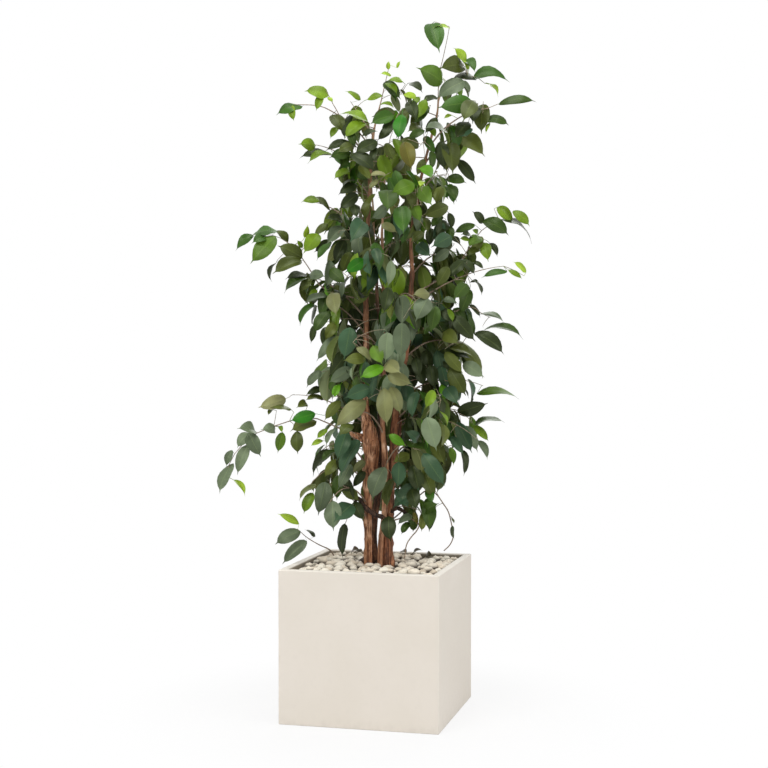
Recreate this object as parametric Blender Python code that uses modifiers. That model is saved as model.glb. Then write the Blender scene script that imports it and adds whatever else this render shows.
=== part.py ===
"""Potted weeping fig: a square planter with soil, a bed of pebbles, four stems and their leafy branches.

Metres, +Z up. The origin is the middle of the planter's underside, and the planter's sides lie along X and Y.
The plant has directions of its own, turned about Z: across, behind and height.
"""

import math
import random
from collections import namedtuple

import bmesh
import bpy
from mathutils import Vector
from mathutils.bvhtree import BVHTree

# Planter
PLANTER_SIDE = 0.400
PLANTER_HEIGHT = 0.378
WALL = 0.018
FLOOR = 0.020
EDGE_RADIUS = 0.0025
EDGE_SEGMENTS = 2
INNER_CORNER = 0.005
CORNER_SEGMENTS = 3

# Filling
FIT_GAP = 0.0003
SOIL_TOP = 0.342
BED_SLAB = 0.007
PEBBLES_PER_SIDE = 11
PEBBLE_RADIUS = 0.0165
PEBBLE_FLATNESS = 0.72
PEBBLE_SINK = 0.0030
PEBBLE_SHIFT = 0.23
MOUND = 0.004

# Plant
PLANT_TURN = math.radians(14.4)
TWIG_BASE_RADIUS = 0.0024
TWIG_TIP_RADIUS = 0.0010
TWIG_SHARE_OF_STEM = 0.75
TWIG_POINTS = 6
TUBE_TILT = math.radians(21)
STUB_LENGTH = 0.034
STUB_RADIUS = 0.0052
STUB_HEIGHT = 0.747
STUB_RISE = 0.006

# Leaves
LEAF_LENGTH = 0.088
LEAF_WIDTH = 0.042
LEAF_THICKNESS = 0.0010
LEAF_FOLD = 0.30
LEAF_CURL = 0.16
LEAF_CLEARANCE = 0.0005
WIDEST_AT = 0.40
NARROWING_AT = 0.68
NARROWED_WIDTH = 0.74
LEAF_ALONG_TWIG = 0.55
LEAF_OFF_TWIG = 0.75
FACING_UP = 0.8
FACING_OUT = 0.6
SMALL_LEAF_SHARE = 0.72
FIRST_LEAF_AT = 0.26
LAST_LEAF_AT = 0.985
PLACING_TRIES = 10
STEER_STEP = 0.012
STEER_TRIES = 9

# across, behind, height and radius of each point of a stem, from its foot in the soil to its tip
STEM_POINTS = {
    "stem_1": (
        (-0.0265, -0.008, 0.300, 0.0125),
        (-0.0265, -0.008, 0.370, 0.0118),
        (-0.0290, -0.010, 0.532, 0.0102),
        (-0.0250, -0.008, 0.684, 0.0094),
        (-0.0240, -0.006, 0.760, 0.0090),
        (-0.0310, -0.002, 0.960, 0.0068),
        (-0.0290, 0.002, 1.150, 0.0054),
        (-0.0215, 0.004, 1.315, 0.0042),
        (-0.0150, 0.002, 1.450, 0.0032),
        (-0.0050, 0.000, 1.580, 0.0020),
    ),
    "stem_2": (
        (-0.0060, 0.024, 0.300, 0.0080),
        (-0.0060, 0.024, 0.370, 0.0076),
        (-0.0080, 0.030, 0.500, 0.0070),
        (0.0000, 0.040, 0.720, 0.0060),
        (0.0040, 0.048, 0.900, 0.0050),
        (-0.0060, 0.058, 1.110, 0.0038),
        (-0.0180, 0.068, 1.340, 0.0022),
    ),
    "stem_3": (
        (0.0038, -0.016, 0.300, 0.0085),
        (0.0038, -0.016, 0.370, 0.0080),
        (-0.0020, -0.022, 0.532, 0.0070),
        (0.0080, -0.032, 0.720, 0.0060),
        (0.0160, -0.040, 0.960, 0.0046),
        (0.0100, -0.040, 1.200, 0.0034),
        (0.0220, -0.036, 1.420, 0.0020),
    ),
    "stem_4": (
        (0.0266, 0.006, 0.300, 0.0165),
        (0.0266, 0.006, 0.370, 0.0158),
        (0.0180, 0.006, 0.500, 0.0132),
        (0.0240, 0.005, 0.608, 0.0118),
        (0.0470, 0.001, 0.785, 0.0092),
        (0.0720, -0.002, 0.930, 0.0070),
        (0.0830, 0.001, 1.080, 0.0054),
        (0.0840, 0.003, 1.215, 0.0044),
        (0.1170, 0.000, 1.418, 0.0032),
        (0.1340, 0.000, 1.560, 0.0022),
    ),
}

Branch = namedtuple("Branch", "name stem start across behind height arch leaves leaf_size")
# A branch leaves its stem at the height start and ends at across, behind and height. It arches above the
# straight line by arch, carries that many leaves, and leaf_size is a share of LEAF_LENGTH.
BRANCHES = (
    Branch("branch_apex", "stem_4", 1.557, 0.148, -0.005, 1.722, 0.000, 8, 0.80),
    Branch("branch_crown", "stem_1", 1.500, 0.030, -0.020, 1.635, 0.000, 8, 0.62),
    Branch("branch_right_01", "stem_4", 1.548, 0.262, 0.030, 1.610, 0.035, 7, 0.90),
    Branch("branch_right_02", "stem_4", 1.420, 0.318, -0.030, 1.540, 0.020, 9, 0.95),
    Branch("branch_right_03", "stem_4", 1.380, 0.225, 0.070, 1.465, 0.020, 8, 0.90),
    Branch("branch_right_04", "stem_4", 1.290, 0.205, -0.070, 1.375, 0.030, 8, 0.95),
    Branch("branch_right_05", "stem_4", 1.050, 0.335, 0.040, 1.245, 0.030, 10, 1.00),
    Branch("branch_right_06", "stem_4", 1.020, 0.310, -0.060, 1.120, 0.020, 9, 0.95),
    Branch("branch_right_07", "stem_4", 1.100, 0.215, 0.120, 1.160, 0.030, 8, 1.00),
    Branch("branch_right_08", "stem_4", 0.940, 0.300, -0.020, 0.965, 0.045, 9, 1.00),
    Branch("branch_right_09", "stem_4", 0.890, 0.235, 0.090, 0.895, 0.045, 8, 1.00),
    Branch("branch_right_10", "stem_4", 0.790, 0.280, 0.020, 0.815, 0.035, 9, 1.00),
    Branch("branch_right_11", "stem_4", 0.735, 0.235, -0.100, 0.775, 0.045, 8, 1.00),
    Branch("branch_right_12", "stem_4", 0.710, 0.250, 0.100, 0.735, 0.040, 8, 1.00),
    Branch("branch_right_13", "stem_4", 0.685, 0.245, -0.040, 0.690, 0.050, 9, 1.00),
    Branch("branch_right_14", "stem_4", 0.640, 0.190, 0.060, 0.635, 0.050, 8, 1.00),
    Branch("branch_right_15", "stem_4", 0.580, 0.160, -0.050, 0.530, 0.050, 8, 0.95),
    Branch("branch_left_01", "stem_1", 1.420, -0.225, 0.020, 1.540, 0.045, 8, 0.75),
    Branch("branch_left_02", "stem_1", 1.380, -0.130, -0.060, 1.555, -0.010, 8, 0.75),
    Branch("branch_left_03", "stem_1", 1.450, -0.080, 0.060, 1.560, 0.000, 7, 0.75),
    Branch("branch_left_04", "stem_1", 1.340, -0.185, -0.030, 1.425, 0.025, 8, 0.85),
    Branch("branch_left_05", "stem_1", 1.300, -0.105, 0.100, 1.360, 0.020, 8, 0.90),
    Branch("branch_left_06", "stem_1", 1.190, -0.170, 0.050, 1.290, 0.020, 8, 0.95),
    Branch("branch_left_07", "stem_1", 1.040, -0.325, -0.020, 1.215, 0.030, 11, 1.05),
    Branch("branch_left_08", "stem_1", 0.990, -0.215, 0.070, 1.105, 0.030, 9, 1.00),
    Branch("branch_left_09", "stem_1", 0.950, -0.185, -0.080, 1.020, 0.040, 8, 1.00),
    Branch("branch_left_10", "stem_1", 0.905, -0.165, 0.110, 0.945, 0.045, 8, 1.00),
    Branch("branch_left_11", "stem_1", 0.800, -0.165, -0.050, 0.845, 0.035, 8, 1.00),
    Branch("branch_left_12", "stem_1", 0.660, -0.375, -0.060, 0.640, 0.095, 13, 0.90),
    Branch("branch_left_13", "stem_1", 0.720, -0.270, 0.040, 0.790, 0.035, 9, 0.90),
    Branch("branch_left_14", "stem_1", 0.610, -0.160, 0.060, 0.640, 0.050, 8, 1.00),
    Branch("branch_left_15", "stem_1", 0.570, -0.175, -0.030, 0.570, 0.050, 8, 1.00),
    Branch("branch_left_16", "stem_1", 0.520, -0.130, -0.110, 0.520, 0.050, 8, 1.05),
    Branch("branch_left_17", "stem_1", 0.400, -0.225, -0.020, 0.455, 0.030, 7, 0.85),
    Branch("branch_left_18", "stem_1", 0.480, -0.085, -0.075, 0.475, 0.040, 6, 0.95),
    Branch("branch_front_01", "stem_3", 1.400, 0.060, -0.120, 1.500, 0.020, 8, 0.85),
    Branch("branch_front_02", "stem_3", 1.280, -0.050, -0.150, 1.380, 0.030, 8, 0.95),
    Branch("branch_front_03", "stem_3", 1.180, 0.110, -0.160, 1.260, 0.030, 9, 1.00),
    Branch("branch_front_04", "stem_3", 1.080, -0.020, -0.190, 1.150, 0.030, 9, 1.00),
    Branch("branch_front_05", "stem_3", 0.980, 0.090, -0.200, 1.030, 0.040, 9, 1.00),
    Branch("branch_front_06", "stem_3", 0.880, -0.060, -0.200, 0.930, 0.040, 9, 1.00),
    Branch("branch_front_07", "stem_3", 0.790, 0.060, -0.200, 0.820, 0.040, 9, 1.00),
    Branch("branch_front_08", "stem_3", 0.700, -0.080, -0.170, 0.720, 0.050, 9, 1.00),
    Branch("branch_front_09", "stem_3", 0.620, 0.110, -0.160, 0.640, 0.050, 8, 1.00),
    Branch("branch_back_01", "stem_2", 1.325, 0.000, 0.150, 1.440, 0.020, 8, 0.90),
    Branch("branch_back_02", "stem_2", 1.220, -0.100, 0.190, 1.300, 0.020, 9, 1.00),
    Branch("branch_back_03", "stem_2", 1.120, 0.090, 0.200, 1.210, 0.030, 9, 1.00),
    Branch("branch_back_04", "stem_2", 1.010, -0.070, 0.220, 1.080, 0.030, 9, 1.00),
    Branch("branch_back_05", "stem_2", 0.900, 0.100, 0.220, 0.960, 0.040, 9, 1.00),
    Branch("branch_back_06", "stem_2", 0.790, -0.080, 0.220, 0.840, 0.040, 9, 1.00),
    Branch("branch_back_07", "stem_2", 0.690, 0.070, 0.220, 0.730, 0.040, 9, 1.00),
    Branch("branch_back_08", "stem_2", 0.580, -0.070, 0.180, 0.600, 0.050, 8, 1.00),
)

# across, behind and height of each point of the bare aerial twig
AERIAL_TWIG_STEM = "stem_4"
AERIAL_TWIG_POINTS = (
    (0.020, 0.006, 0.470),
    (0.090, 0.020, 0.530),
    (0.140, 0.020, 0.565),
    (0.177, 0.020, 0.520),
    (0.194, 0.020, 0.456),
    (0.186, 0.020, 0.418),
    (0.164, 0.020, 0.402),
)
AERIAL_TWIG_RADIUS = 0.0013

MATERIALS = {
    "planter": ((0.77, 0.72, 0.64), 0.60),
    "soil": ((0.05, 0.035, 0.025), 0.95),
    "pebbles": ((0.72, 0.67, 0.58), 0.70),
    "bark": ((0.22, 0.12, 0.07), 0.80),
    "dark_bark": ((0.10, 0.06, 0.04), 0.80),
    "leaves": ((0.05, 0.13, 0.04), 0.40),
}

Leaf = namedtuple("Leaf", "base forward side face length width")


def clear_scene():
    for obj in list(bpy.data.objects):
        bpy.data.objects.remove(obj)


def collection_named(name, rendered=True):
    made = bpy.data.collections.new(name)
    made.hide_render = not rendered
    bpy.context.scene.collection.children.link(made)
    return made


def material_named(name):
    colour, roughness = MATERIALS[name]
    made = bpy.data.materials.get(name) or bpy.data.materials.new(name)
    made.use_nodes = True
    shader = made.node_tree.nodes["Principled BSDF"]
    shader.inputs["Base Color"].default_value = (*colour, 1.0)
    shader.inputs["Roughness"].default_value = roughness
    shader.inputs["Metallic"].default_value = 0.0
    return made


def move_to(obj, collection):
    for old in list(obj.users_collection):
        old.objects.unlink(obj)
    collection.objects.link(obj)


def make_cutter(obj):
    move_to(obj, CUTTERS)
    obj.hide_render = True
    obj.display_type = "WIRE"
    return obj


def box(name, low, high):
    """A box primitive between two corners, with its scale applied."""
    size = Vector(high) - Vector(low)
    bpy.ops.mesh.primitive_cube_add(size=1.0, location=(Vector(low) + Vector(high)) / 2)
    obj = bpy.context.active_object
    obj.name = name
    obj.scale = size
    bpy.ops.object.transform_apply(location=False, rotation=False, scale=True)
    return obj


def round_uprights(obj, radius):
    """Rounds the four upright edges of a box."""
    shape = bmesh.new()
    shape.from_mesh(obj.data)
    uprights = [edge for edge in shape.edges if abs((edge.verts[0].co - edge.verts[1].co).z) > radius]
    bmesh.ops.bevel(shape, geom=uprights, offset=radius, segments=CORNER_SEGMENTS, affect="EDGES", profile=0.5)
    shape.to_mesh(obj.data)
    shape.free()
    return obj


def boolean(obj, other, operation, own_overlaps=False):
    modifier = obj.modifiers.new(f"{operation.lower()}_{other.name}", "BOOLEAN")
    modifier.operation = operation
    modifier.object = other
    modifier.solver = "EXACT"
    modifier.use_self = own_overlaps
    return modifier


def plant_point(across, behind, height):
    """A point given in the plant's own directions."""
    cosine = math.cos(PLANT_TURN)
    sine = math.sin(PLANT_TURN)
    return Vector((across * cosine - behind * sine, across * sine + behind * cosine, height))


def tube(name, points, radii, resolution):
    """A tapered tube as a mesh object: a poly curve with a round bevel and welded caps."""
    curve = bpy.data.curves.new(name, "CURVE")
    curve.dimensions = "3D"
    curve.bevel_depth = max(radii)
    curve.bevel_resolution = resolution
    curve.use_fill_caps = True
    spline = curve.splines.new("POLY")
    spline.points.add(len(points) - 1)
    for spot, point, radius in zip(spline.points, points, radii):
        spot.co = (*point, 1.0)
        spot.radius = radius / curve.bevel_depth
        spot.tilt = TUBE_TILT
    guide = bpy.data.objects.new(name + "_guide", curve)
    PARTS.objects.link(guide)
    bpy.context.view_layer.update()
    graph = bpy.context.evaluated_depsgraph_get()
    mesh = bpy.data.meshes.new_from_object(guide.evaluated_get(graph))
    mesh.name = name
    welded = bmesh.new()
    welded.from_mesh(mesh)
    bmesh.ops.remove_doubles(welded, verts=welded.verts, dist=0.00001)
    if welded.calc_volume(signed=True) < 0:
        bmesh.ops.reverse_faces(welded, faces=welded.faces)
    welded.to_mesh(mesh)
    welded.free()
    made = bpy.data.objects.new(name, mesh)
    made.matrix_world = guide.matrix_world
    PARTS.objects.link(made)
    bpy.data.objects.remove(guide)
    return made


def finish(obj, material, smooth_angle=None):
    """Gives a node its material, and smooth shading where it is round."""
    obj.data.materials.clear()
    obj.data.materials.append(material_named(material))
    if smooth_angle is not None:
        obj.data.shade_smooth()
        obj.data.set_sharp_from_angle(angle=math.radians(smooth_angle))
    move_to(obj, PARTS)
    return obj


class Neighbours:
    """Everything placed so far, to find out whether a new leaf or twig would touch it."""

    def __init__(self):
        self.entries = []

    def add(self, owner, points, faces):
        tree = BVHTree.FromPolygons(points, faces)
        low = [min(point[axis] for point in points) for axis in range(3)]
        high = [max(point[axis] for point in points) for axis in range(3)]
        self.entries.append((owner, low, high, tree))

    def touched(self, points, faces, apart_from=()):
        low = [min(point[axis] for point in points) for axis in range(3)]
        high = [max(point[axis] for point in points) for axis in range(3)]
        tree = None
        for owner, other_low, other_high, other_tree in self.entries:
            if owner in apart_from:
                continue
            if any(low[i] > other_high[i] or high[i] < other_low[i] for i in range(3)):
                continue
            tree = tree or BVHTree.FromPolygons(points, faces)
            if tree.overlap(other_tree):
                return True
        return False


def mesh_lists(obj):
    points = [obj.matrix_world @ vertex.co for vertex in obj.data.vertices]
    faces = [tuple(face.vertices) for face in obj.data.polygons]
    return points, faces


# --- planter and filling ---------------------------------------------------------------------


def make_planter():
    half = PLANTER_SIDE / 2
    inner = half - WALL
    planter = box("planter", (-half, -half, 0.0), (half, half, PLANTER_HEIGHT))
    above = PLANTER_HEIGHT + WALL
    hollow = make_cutter(box("planter_hollow", (-inner, -inner, FLOOR), (inner, inner, above)))
    round_uprights(hollow, INNER_CORNER)
    boolean(planter, hollow, "DIFFERENCE")
    bevel = planter.modifiers.new("soft_edges", "BEVEL")
    bevel.width = EDGE_RADIUS
    bevel.segments = EDGE_SEGMENTS
    bevel.limit_method = "ANGLE"
    bevel.angle_limit = math.radians(40)
    return finish(planter, "planter", 50)


def make_soil(stem_cutters):
    half = PLANTER_SIDE / 2 - WALL - FIT_GAP
    soil = box("potting_soil", (-half, -half, FLOOR + EDGE_RADIUS), (half, half, SOIL_TOP))
    round_uprights(soil, INNER_CORNER)
    for cutter in stem_cutters:
        boolean(soil, cutter, "DIFFERENCE")
    return finish(soil, "soil")


def make_pebble_bed(stem_cutters):
    """A thin slab with flattened pebbles sunk into it, joined into one bed with holes for the stems."""
    chance = random.Random(7)
    half = PLANTER_SIDE / 2 - WALL - FIT_GAP
    low = SOIL_TOP + FIT_GAP
    top = low + BED_SLAB
    deepest = low + BED_SLAB / 2
    bed = round_uprights(box("pebble_mulch", (-half, -half, low), (half, half, top)), INNER_CORNER)
    spacing = 2 * half / PEBBLES_PER_SIDE
    reach = half - PEBBLE_RADIUS * 1.12
    pebbles = bmesh.new()
    for row in range(PEBBLES_PER_SIDE):
        for column in range(PEBBLES_PER_SIDE):
            spot = Vector(((column + 0.5) * spacing - half, (row + 0.5) * spacing - half))
            shift = Vector((chance.uniform(-1, 1), chance.uniform(-1, 1))) * spacing * PEBBLE_SHIFT
            x = max(-reach, min(reach, spot.x + shift.x))
            y = max(-reach, min(reach, spot.y + shift.y))
            rise = MOUND * (1 - (spot.length / half) ** 2) - PEBBLE_SINK * chance.random()
            turn = chance.uniform(0, math.pi)
            long_side = PEBBLE_RADIUS * chance.uniform(0.92, 1.08)
            short_side = PEBBLE_RADIUS * chance.uniform(0.80, 0.95)
            made = bmesh.ops.create_uvsphere(pebbles, u_segments=6, v_segments=3, radius=1.0)
            for vertex in made["verts"]:
                along = vertex.co.x * long_side
                across = vertex.co.y * short_side
                vertex.co.x = x + along * math.cos(turn) - across * math.sin(turn)
                vertex.co.y = y + along * math.sin(turn) + across * math.cos(turn)
                vertex.co.z = max(top + rise + vertex.co.z * PEBBLE_RADIUS * PEBBLE_FLATNESS, deepest)
    mesh = bpy.data.meshes.new("pebble_lumps")
    pebbles.to_mesh(mesh)
    pebbles.free()
    lumps = bpy.data.objects.new("pebble_lumps", mesh)
    make_cutter(lumps)
    boolean(bed, lumps, "UNION", own_overlaps=True)
    for cutter in stem_cutters:
        boolean(bed, cutter, "DIFFERENCE")
    return finish(bed, "pebbles")


# --- stems ------------------------------------------------------------------------------------


def stem_at(stem, height):
    """The stem's centre and radius at a height."""
    points = STEM_POINTS[stem]
    for lower, upper in zip(points, points[1:]):
        if height <= upper[2] or upper is points[-1]:
            share = min(1.0, (height - lower[2]) / (upper[2] - lower[2]))
            mixed = [a + (b - a) * share for a, b in zip(lower, upper)]
            return plant_point(*mixed[:3]), mixed[3]
    raise ValueError(stem)


def make_stem(name, growth=0.0):
    points = STEM_POINTS[name]
    places = [plant_point(*point[:3]) for point in points]
    radii = [point[3] + growth for point in points]
    if growth:
        places[0].z -= growth
        places[-1] += (places[-1] - places[-2]).normalized() * growth
    return tube(name if not growth else name + "_room", places, radii, 2)


def add_stub(stem, growth=0.0):
    """The short cut side shoot on stem 1."""
    centre, _ = stem_at("stem_1", STUB_HEIGHT)
    outward = plant_point(-1.0, 0.0, 0.0)
    end = centre + outward * (STUB_LENGTH + growth) + Vector((0, 0, STUB_RISE))
    radii = (STUB_RADIUS + growth, STUB_RADIUS * 0.8 + growth)
    stub = make_cutter(tube(stem.name + "_stub", (centre, end), radii, 1))
    boolean(stem, stub, "UNION")


# --- branches ---------------------------------------------------------------------------------


def branch_path(branch, sideways=0.0):
    """The points of a branch: a quadratic curve from the stem's centre to the tip, raised by its arch."""
    start, _ = stem_at(branch.stem, branch.start)
    tip = plant_point(branch.across, branch.behind + sideways, branch.height)
    middle = (start + tip) / 2 + Vector((0, 0, 2 * branch.arch))
    points = []
    for step in range(TWIG_POINTS):
        share = step / (TWIG_POINTS - 1)
        points.append(start * (1 - share) ** 2 + middle * 2 * share * (1 - share) + tip * share**2)
    return points


def along_path(points, share):
    """The place and the direction at a share of a path's points."""
    position = share * (len(points) - 1)
    index = min(int(position), len(points) - 2)
    step = points[index + 1] - points[index]
    return points[index] + step * (position - index), step.normalized()


def make_twig(branch, neighbours):
    """The branch's twig, steered a little forwards or backwards until it is clear of the others."""
    _, stem_radius = stem_at(branch.stem, branch.start)
    base_radius = min(TWIG_BASE_RADIUS, stem_radius * TWIG_SHARE_OF_STEM)
    radii = []
    for step in range(TWIG_POINTS):
        share = step / (TWIG_POINTS - 1)
        radii.append(base_radius * (1 - share) + TWIG_TIP_RADIUS * share)
    for attempt in range(STEER_TRIES):
        side = 1 if attempt % 2 else -1
        path = branch_path(branch, side * ((attempt + 1) // 2) * STEER_STEP)
        wide = tube(branch.name, path, [radius + LEAF_CLEARANCE for radius in radii], 0)
        points, faces = mesh_lists(wide)
        bpy.data.objects.remove(wide)
        if not neighbours.touched(points, faces, apart_from=(branch.stem,)):
            break
    neighbours.add(branch.name, points, faces)
    return tube(branch.name, path, radii, 0), path


def blade_template():
    """A sphere of two rings and four sides, from which each blade is shaped.

    Its four waist faces are split from a side corner to a middle corner, above and below alike, so that
    the two skins of a thin folded blade stay apart.
    """
    ball = bmesh.new()
    bmesh.ops.create_uvsphere(ball, u_segments=4, v_segments=3, radius=1.0)
    sides = [vertex for vertex in ball.verts if vertex.co.z > 0.1 and abs(vertex.co.x) > 0.1]
    middles = [vertex for vertex in ball.verts if vertex.co.z < -0.1 and abs(vertex.co.y) > 0.1]
    for side in sides:
        for middle in middles:
            bmesh.ops.connect_verts(ball, verts=[side, middle])
    mesh = bpy.data.meshes.new("blade_template")
    ball.to_mesh(mesh)
    ball.free()
    return mesh


def blade_points(leaf, growth=0.0):
    """The template as a leaf: pointed at both ends, folded along its midrib and curled down to its tip."""
    shaped = []
    for corner in BLADE.vertices:
        spot = corner.co
        ring = math.hypot(spot.x, spot.y)
        is_end = ring < 0.01
        is_near = spot.z > 0
        along = (0.0 if is_near else 1.0) if is_end else (WIDEST_AT if is_near else NARROWING_AT)
        width = leaf.width / 2 * (1.0 if is_near else NARROWED_WIDTH) + growth
        across = 0.0 if is_end else spot.x / ring * width
        thickness = 0.0 if is_end else spot.y / ring * (LEAF_THICKNESS / 2 + growth)
        lift = abs(across) * LEAF_FOLD - leaf.length * LEAF_CURL * along**2
        place = leaf.base + leaf.forward * (leaf.length + growth) * along
        shaped.append(place + leaf.side * across + leaf.face * (lift + thickness))
    return shaped


def leaf_at(path, share, turn, tilt, roll, length):
    """A leaf that grows from the path, turned about it, tilted down and rolled about its own midrib."""
    base, along = along_path(path, share)
    up = Vector((0, 0, 1))
    level = along.cross(up).normalized()
    outward = level * math.cos(turn) + along.cross(level).normalized() * math.sin(turn)
    forward = (along * LEAF_ALONG_TWIG + outward * LEAF_OFF_TWIG - up * tilt).normalized()
    from_middle = Vector((base.x, base.y, 0.0)).normalized()
    facing = (up * FACING_UP + from_middle * FACING_OUT).normalized()
    face = (facing - forward * facing.dot(forward)).normalized()
    side = forward.cross(face).normalized()
    face = face * math.cos(roll) + side * math.sin(roll)
    side = forward.cross(face).normalized()
    return Leaf(base, forward, side, face, length, length * LEAF_WIDTH / LEAF_LENGTH)


def place_leaves(branch, path, neighbours, chance):
    """Leaves in turn on the two sides of the twig. One that would touch a neighbour is turned or left out."""
    leaves = []
    for index in range(branch.leaves):
        share = FIRST_LEAF_AT + (1 - FIRST_LEAF_AT) * (index + 1) / branch.leaves
        is_last = index == branch.leaves - 1
        length = LEAF_LENGTH * branch.leaf_size * chance.uniform(0.85, 1.08)
        for attempt in range(PLACING_TRIES):
            spread = 0.25 + 0.09 * attempt
            turn = (0.0 if index % 2 else math.pi) + chance.uniform(-spread, spread)
            tilt = chance.uniform(0.25, 0.75) + 0.05 * attempt
            roll = chance.uniform(-spread, spread)
            here = LAST_LEAF_AT if is_last else share + chance.uniform(-0.02, 0.02)
            size = length if attempt < PLACING_TRIES / 2 else length * SMALL_LEAF_SHARE
            leaf = leaf_at(path, here, turn, tilt, roll, size)
            points = blade_points(leaf, LEAF_CLEARANCE)
            crosses_outside = neighbours.touched(points, BLADE_OUTER_FACES)
            if not crosses_outside and not neighbours.touched(points, BLADE_FACES, (branch.name,)):
                neighbours.add(branch.name + "_leaf", points, BLADE_FACES)
                leaves.append(leaf)
                break
    return leaves


def leaf_mesh(name, leaves):
    """All blades of one branch in one mesh."""
    blades = bmesh.new()
    for leaf in leaves:
        earlier = len(blades.verts)
        blades.from_mesh(BLADE)
        for vertex, place in zip(list(blades.verts)[earlier:], blade_points(leaf)):
            vertex.co = place
    mesh = bpy.data.meshes.new(name)
    blades.to_mesh(mesh)
    blades.free()
    return mesh


def dress_branch(branch, twig, path, stem_cutter, neighbours, chance):
    """Joins the leaves to the twig, and fits its foot against the stem."""
    leaves = place_leaves(branch, path, neighbours, chance)
    mesh = leaf_mesh(branch.name + "_leaves", leaves)
    blades = make_cutter(bpy.data.objects.new(branch.name + "_leaves", mesh))
    boolean(twig, blades, "UNION", own_overlaps=True)
    boolean(twig, stem_cutter, "DIFFERENCE")
    finish(twig, "leaves")
    return len(leaves)


def make_aerial_twig(stem_cutter, neighbours):
    places = [plant_point(*point) for point in AERIAL_TWIG_POINTS]
    twig = tube("aerial_twig", places, [AERIAL_TWIG_RADIUS] * len(places), 0)
    neighbours.add(twig.name, *mesh_lists(twig))
    boolean(twig, stem_cutter, "DIFFERENCE")
    return finish(twig, "bark")


def build():
    neighbours = Neighbours()
    stems = {name: make_stem(name) for name in STEM_POINTS}
    rooms = {name: make_cutter(make_stem(name, FIT_GAP)) for name in STEM_POINTS}
    for name, stem in stems.items():
        neighbours.add(name, *mesh_lists(stem))
        finish(stem, "dark_bark" if name == "stem_2" else "bark", 60)
    add_stub(stems["stem_1"])
    planter = make_planter()
    neighbours.add(planter.name, *mesh_lists(planter))
    make_soil(rooms.values())
    make_pebble_bed(rooms.values())
    half = PLANTER_SIDE / 2
    lid = box("bed_limit", (-half, -half, SOIL_TOP), (half, half, SOIL_TOP + PEBBLE_RADIUS * 1.8))
    neighbours.add(lid.name, *mesh_lists(lid))
    bpy.data.objects.remove(lid)
    make_aerial_twig(rooms[AERIAL_TWIG_STEM], neighbours)
    twigs = [(branch, *make_twig(branch, neighbours)) for branch in BRANCHES]
    chance = random.Random(12)
    for branch, twig, path in twigs:
        dress_branch(branch, twig, path, rooms[branch.stem], neighbours, chance)


clear_scene()
PARTS = collection_named("potted_weeping_fig")
CUTTERS = collection_named("cutters", rendered=False)
BLADE = blade_template()
BLADE_BASE = max(BLADE.vertices, key=lambda corner: corner.co.z).index
BLADE_FACES = [tuple(face.vertices) for face in BLADE.polygons]
BLADE_OUTER_FACES = [face for face in BLADE_FACES if BLADE_BASE not in face]
build()
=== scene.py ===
"""Potted weeping fig: the finished look of the plant, its pebbles and its square planter.

Metres, +Z up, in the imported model's frame. The plant has directions of its own, turned about Z:
across, behind and height. Leaves, twigs, stems and pebbles are surfaces on grids of two parameters.
"""

import math
from collections import namedtuple

import bpy
import numpy as np
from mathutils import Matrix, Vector


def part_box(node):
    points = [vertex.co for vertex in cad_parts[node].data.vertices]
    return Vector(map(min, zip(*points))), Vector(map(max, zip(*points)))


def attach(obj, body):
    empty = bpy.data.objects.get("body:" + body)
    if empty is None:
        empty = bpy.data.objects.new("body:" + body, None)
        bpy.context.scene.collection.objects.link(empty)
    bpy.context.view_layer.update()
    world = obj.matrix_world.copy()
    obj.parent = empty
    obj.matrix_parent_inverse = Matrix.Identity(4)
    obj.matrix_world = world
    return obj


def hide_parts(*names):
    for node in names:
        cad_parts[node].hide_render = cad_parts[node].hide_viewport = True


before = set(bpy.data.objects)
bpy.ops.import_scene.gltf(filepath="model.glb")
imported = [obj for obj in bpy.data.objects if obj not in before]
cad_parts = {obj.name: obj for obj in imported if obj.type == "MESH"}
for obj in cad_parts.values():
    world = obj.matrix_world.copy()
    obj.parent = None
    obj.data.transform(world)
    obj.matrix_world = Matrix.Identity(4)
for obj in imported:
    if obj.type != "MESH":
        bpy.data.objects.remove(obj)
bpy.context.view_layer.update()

PLANT_TURN = math.radians(14.4)
TURN_COSINE = math.cos(PLANT_TURN)
TURN_SINE = math.sin(PLANT_TURN)
UP = np.array([0.0, 0.0, 1.0])
PLANT_SEED = 5
PLANTER_SEED = 9

# Camera and light
CAMERA_ACROSS = 0.014
CAMERA_BACK = 3.707
CAMERA_HEIGHT = 0.903
CAMERA_DOWN = math.radians(1.18)
CAMERA_LENS = 68.9
SENSOR_WIDTH = 36.0
WORLD_LIGHT = 0.55
WHITE = (1.0, 1.0, 1.0)
# The rays that see plain white round the plant
VIEWED_RAYS = ("Is Camera Ray", "Is Glossy Ray", "Is Transmission Ray")
# name, place in the plant's directions, target, width in metres and power in watts of each lamp
LAMPS = (
    ("key", (-1.7, -2.6, 2.6), (0.0, 0.0, 0.8), 1.8, 48.0),
    ("fill", (2.6, -1.8, 1.6), (0.0, 0.0, 0.8), 2.0, 26.0),
    ("back", (0.6, 2.6, 2.8), (0.0, 0.0, 1.0), 2.0, 30.0),
    ("top", (0.0, -0.6, 3.6), (0.0, 0.0, 1.0), 1.6, 30.0),
)
# To the viewed rays the floor is plain white by the share FLOOR_WHITE near the planter, and all of it past
# FLOOR_FADE.
FLOOR_FADE = (0.30, 0.75)
FLOOR_WHITE = 0.80
FLOOR_GREY = 0.80
FLOOR_HALF = 30.0

# Leaves
BLADE_LENGTH = 0.087
BLADE_WIDTH_SHARE = 0.48
BLADE_HALF_THICKNESS = 0.00018
LEAF_SPACING = 0.0125
LEAF_CREASE = 70.0
STALK_LENGTH = 0.013
STALK_RADIUS = 0.0006
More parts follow.
